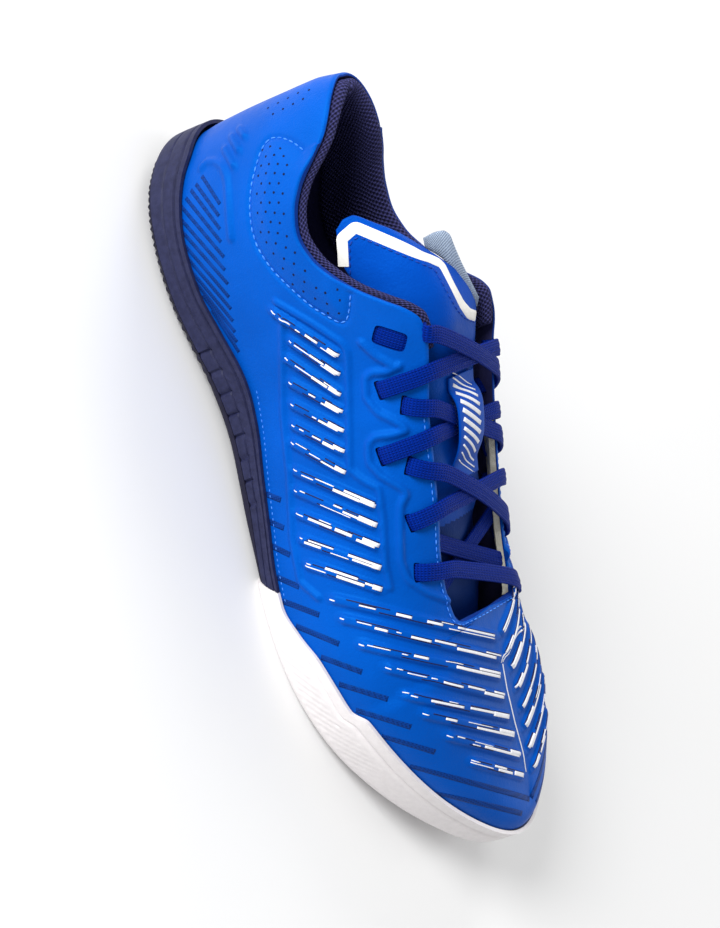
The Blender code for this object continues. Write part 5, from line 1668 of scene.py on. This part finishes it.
def cup(name, t, low, high, parts_up, kind, grooves, floor_level, materials, stepped, across=41):
    """Closed ring-built solid with a gridded underside."""
    count = len(t)
    rows = []
    for part in parts_up:
        z = low(t) + (high(t) - low(t)) * part
        inset = side_inset(t, z) + wall_relief(kind, t, part, z)
        if stepped:
            inset = inset + joint_inset(t, z)
        rows.append(outline_row(t, inset, z))
    if floor_level is not None:
        for level, inset in ((high, RIM_INSET + 0.0003), (high, CUP_INSET), (floor_level, CUP_INSET)):
            rows.append(outline_row(t, inset, level(t)))
    verts, at = [], {}
    for r, row in enumerate(rows):
        for side in (-1, 1):
            for i in range(count):
                if side > 0 and i in (0, count - 1):
                    at[r, side, i] = at[r, -1, i]
                    continue
                at[r, side, i] = len(verts)
                verts.append(row[side][i])
    faces = []
    for r in range(len(rows) - 1):
        for side in (-1, 1):
            for i in range(count - 1):
                corners = ((r, i), (r, i + 1), (r + 1, i + 1), (r + 1, i))
                faces.append(tuple(at[q, side, m] for q, m in corners))
    for r in (0, len(rows) - 1):
        for i in range(count):
            a, b = rows[r][-1][i], rows[r][1][i]
            for k in range(1, across - 1):
                if i in (0, count - 1):
                    at[r, "mid", i, k] = at[r, -1, i]
                    continue
                p = a + (b - a) * (k / (across - 1))
                if r == 0 and grooves is not None:
                    near = min(k, across - 1 - k) / (across - 1)
                    rise = float(tread(p[0], p[1] - CENTRE_Y, grooves)) * min(1, near / 0.02)
                    p = p + np.array([0, 0, rise])
                at[r, "mid", i, k] = len(verts)
                verts.append(p)
            at[r, "mid", i, 0], at[r, "mid", i, across - 1] = at[r, -1, i], at[r, 1, i]
        for i in range(count - 1):
            for k in range(across - 1):
                corners = ((i, k), (i + 1, k), (i + 1, k + 1), (i, k + 1))
                faces.append(tuple(at[r, "mid", m, n] for m, n in corners))
    return build(name, verts, whole_faces(faces)[0], materials)


def block(ahead, offset):
    """Box before or behind the slanted joint of the sole."""
    low, high = -0.01, 0.06
    start = JOINT_ALONG + offset
    far = 0.40 if ahead else -0.10
    section = ((start + JOINT_SLANT * low, low), (start + JOINT_SLANT * high, high), (far, high), (far, low))
    corners = [(x, y, z) for y in (-0.1, 0.1) for x, z in section]
    faces = [(0, 1, 2, 3), (7, 6, 5, 4), (0, 4, 5, 1), (1, 5, 6, 2), (2, 6, 7, 3), (3, 7, 4, 0)]
    return build("joint_tool", corners, faces, (dark_rubber,))


def trimmed(piece, tool):
    return carved(piece, "INTERSECT", tool, 38)


def floor_level(t):
    return floor_height(share_at(t))


def rim_level(t):
    return rim_height(share_at(t))


def between_shares(first, last, count):
    fine = np.linspace(first, last, FINE_SAMPLES)
    x, y = outline(fine, -1)
    run = np.concatenate([[0], np.cumsum(np.hypot(np.diff(x), np.diff(y)))])
    return np.interp(np.linspace(0, run[-1], count), run, fine)


even = between_shares(0.0, 1.0, 420)
wall_parts = np.linspace(0, 1, 30)
midsole = cup("midsole_cup", even, lambda t: split_under(t) + CLEARANCE, rim_level, wall_parts, "rear", None,
              floor_level, (navy_rubber,), True, 9)
dress(trimmed(midsole, block(False, -CLEARANCE)), "rear_sole", "midsole")
tread_parts = (0, 0.06, 0.14, 0.25, 0.4, 0.6, 0.8, 1)
heel = cup("heel_tread", even, ground, split_under, tread_parts, "plain", REAR_GROOVES, None,
           (dark_rubber,), True)
dress(trimmed(heel, block(False, -CLEARANCE)), "heel_rubber", "heel_outsole")
front_parts = np.concatenate([[0, 0.02, 0.05, 0.09, 0.14], np.linspace(0.19, 1, 24)])
forefoot = cup("forefoot_cup", even, ground, rim_level, front_parts, "front", FRONT_GROOVES, floor_level,
               (white_rubber,), False)
dress(trimmed(forefoot, block(True, 0.0)), "forefoot_rubber", "forefoot_outsole")

# Insole with a soft raised border
INSOLE_INSET = UPPER_INSET + UPPER_WALL + 2 * CLEARANCE
t = between_shares(0.0, 1.0, 200)
INSOLE_RINGS = ((0.0, 0.0), (0.0, 0.85), (0.0006, 1.0), (0.0025, 0.97), (0.006, 0.85), (0.012, 0.78))
loops = []
for part, rise in INSOLE_RINGS:
    row = outline_row(t, INSOLE_INSET + part, floor_level(t) + CLEARANCE + INSOLE_THICKNESS * rise)
    loops.append(np.concatenate([row[-1], row[1][-2:0:-1]]))
k = len(loops[0])
verts, faces, _ = ring_tube(loops)
faces = faces[:-2]
for base in (0, len(verts) - k):
    faces += [(base + i, base + i + 1, base + (k - i - 1) % k, base + (k - i) % k)
              for i in range(len(t) - 1)]
insole = build("insole_pad", verts, whole_faces(faces)[0], (footbed,), uv=verts[:, :2])
dress(insole, "lining_mesh", "insole", fill=0.5)

# Floor, light and camera
FLOOR_REACH, WORLD_LIGHT, SENSOR = 6, 0.52, 36.0
floor_mesh = bpy.data.meshes.new("floor")
floor_corners = [(x * FLOOR_REACH, y * FLOOR_REACH, 0) for x, y in ((-1, -1), (1, -1), (1, 1), (-1, 1))]
floor_mesh.from_pydata(floor_corners, [], [(0, 1, 2, 3)])
floor_piece = bpy.data.objects.new("floor", floor_mesh)
bpy.context.scene.collection.objects.link(floor_piece)
floor_look = finish_of("floor_paper", (0.89, 0.89, 0.89), 0.90)
shades(floor_look, noise(floor_look, 6.0), 0.3, 0.7, (0.885, 0.886, 0.887), (0.895, 0.896, 0.897))
floor_mesh.materials.append(floor_look)

world = bpy.data.worlds.new("studio")
world.use_nodes = True
sky = world.node_tree.nodes["Background"].inputs
sky["Color"].default_value = (1.0, 1.0, 1.0, 1.0)
sky["Strength"].default_value = WORLD_LIGHT
bpy.context.scene.world = world


def lamp(name, place, target, size, power):
    light = bpy.data.lights.new(name, "AREA")
    light.shape, light.size, light.energy = "DISK", size, power
    made = bpy.data.objects.new(name, light)
    made.location = place
    made.rotation_euler = (Vector(target) - Vector(place)).to_track_quat("-Z", "Y").to_euler()
    bpy.context.scene.collection.objects.link(made)


# Name, place, target, size in metres and power in watts
lamp("key", (-0.95, -0.95, 0.66), (-0.03, 0, 0.03), 0.80, 24.5)
lamp("back", (-0.90, 0.80, 0.70), (-0.03, 0, 0.04), 0.60, 5.0)
lamp("fill", (0.55, 0.95, 0.80), (0.10, 0.16, 0.0), 0.90, 3.2)

camera = bpy.data.cameras.new("camera")
camera.sensor_width = SENSOR
camera.lens = CAMERA_FOCAL * SENSOR / VIEW_HEIGHT
camera.clip_start, camera.clip_end = 0.05, 50.0
eye = bpy.data.objects.new("camera", camera)
eye.rotation_mode = "QUATERNION"
eye.rotation_quaternion = CAMERA_TURN
eye.location = CAMERA_PLACE
bpy.context.scene.collection.objects.link(eye)
bpy.context.scene.camera = eye
bpy.context.scene.view_settings.view_transform = "Standard"
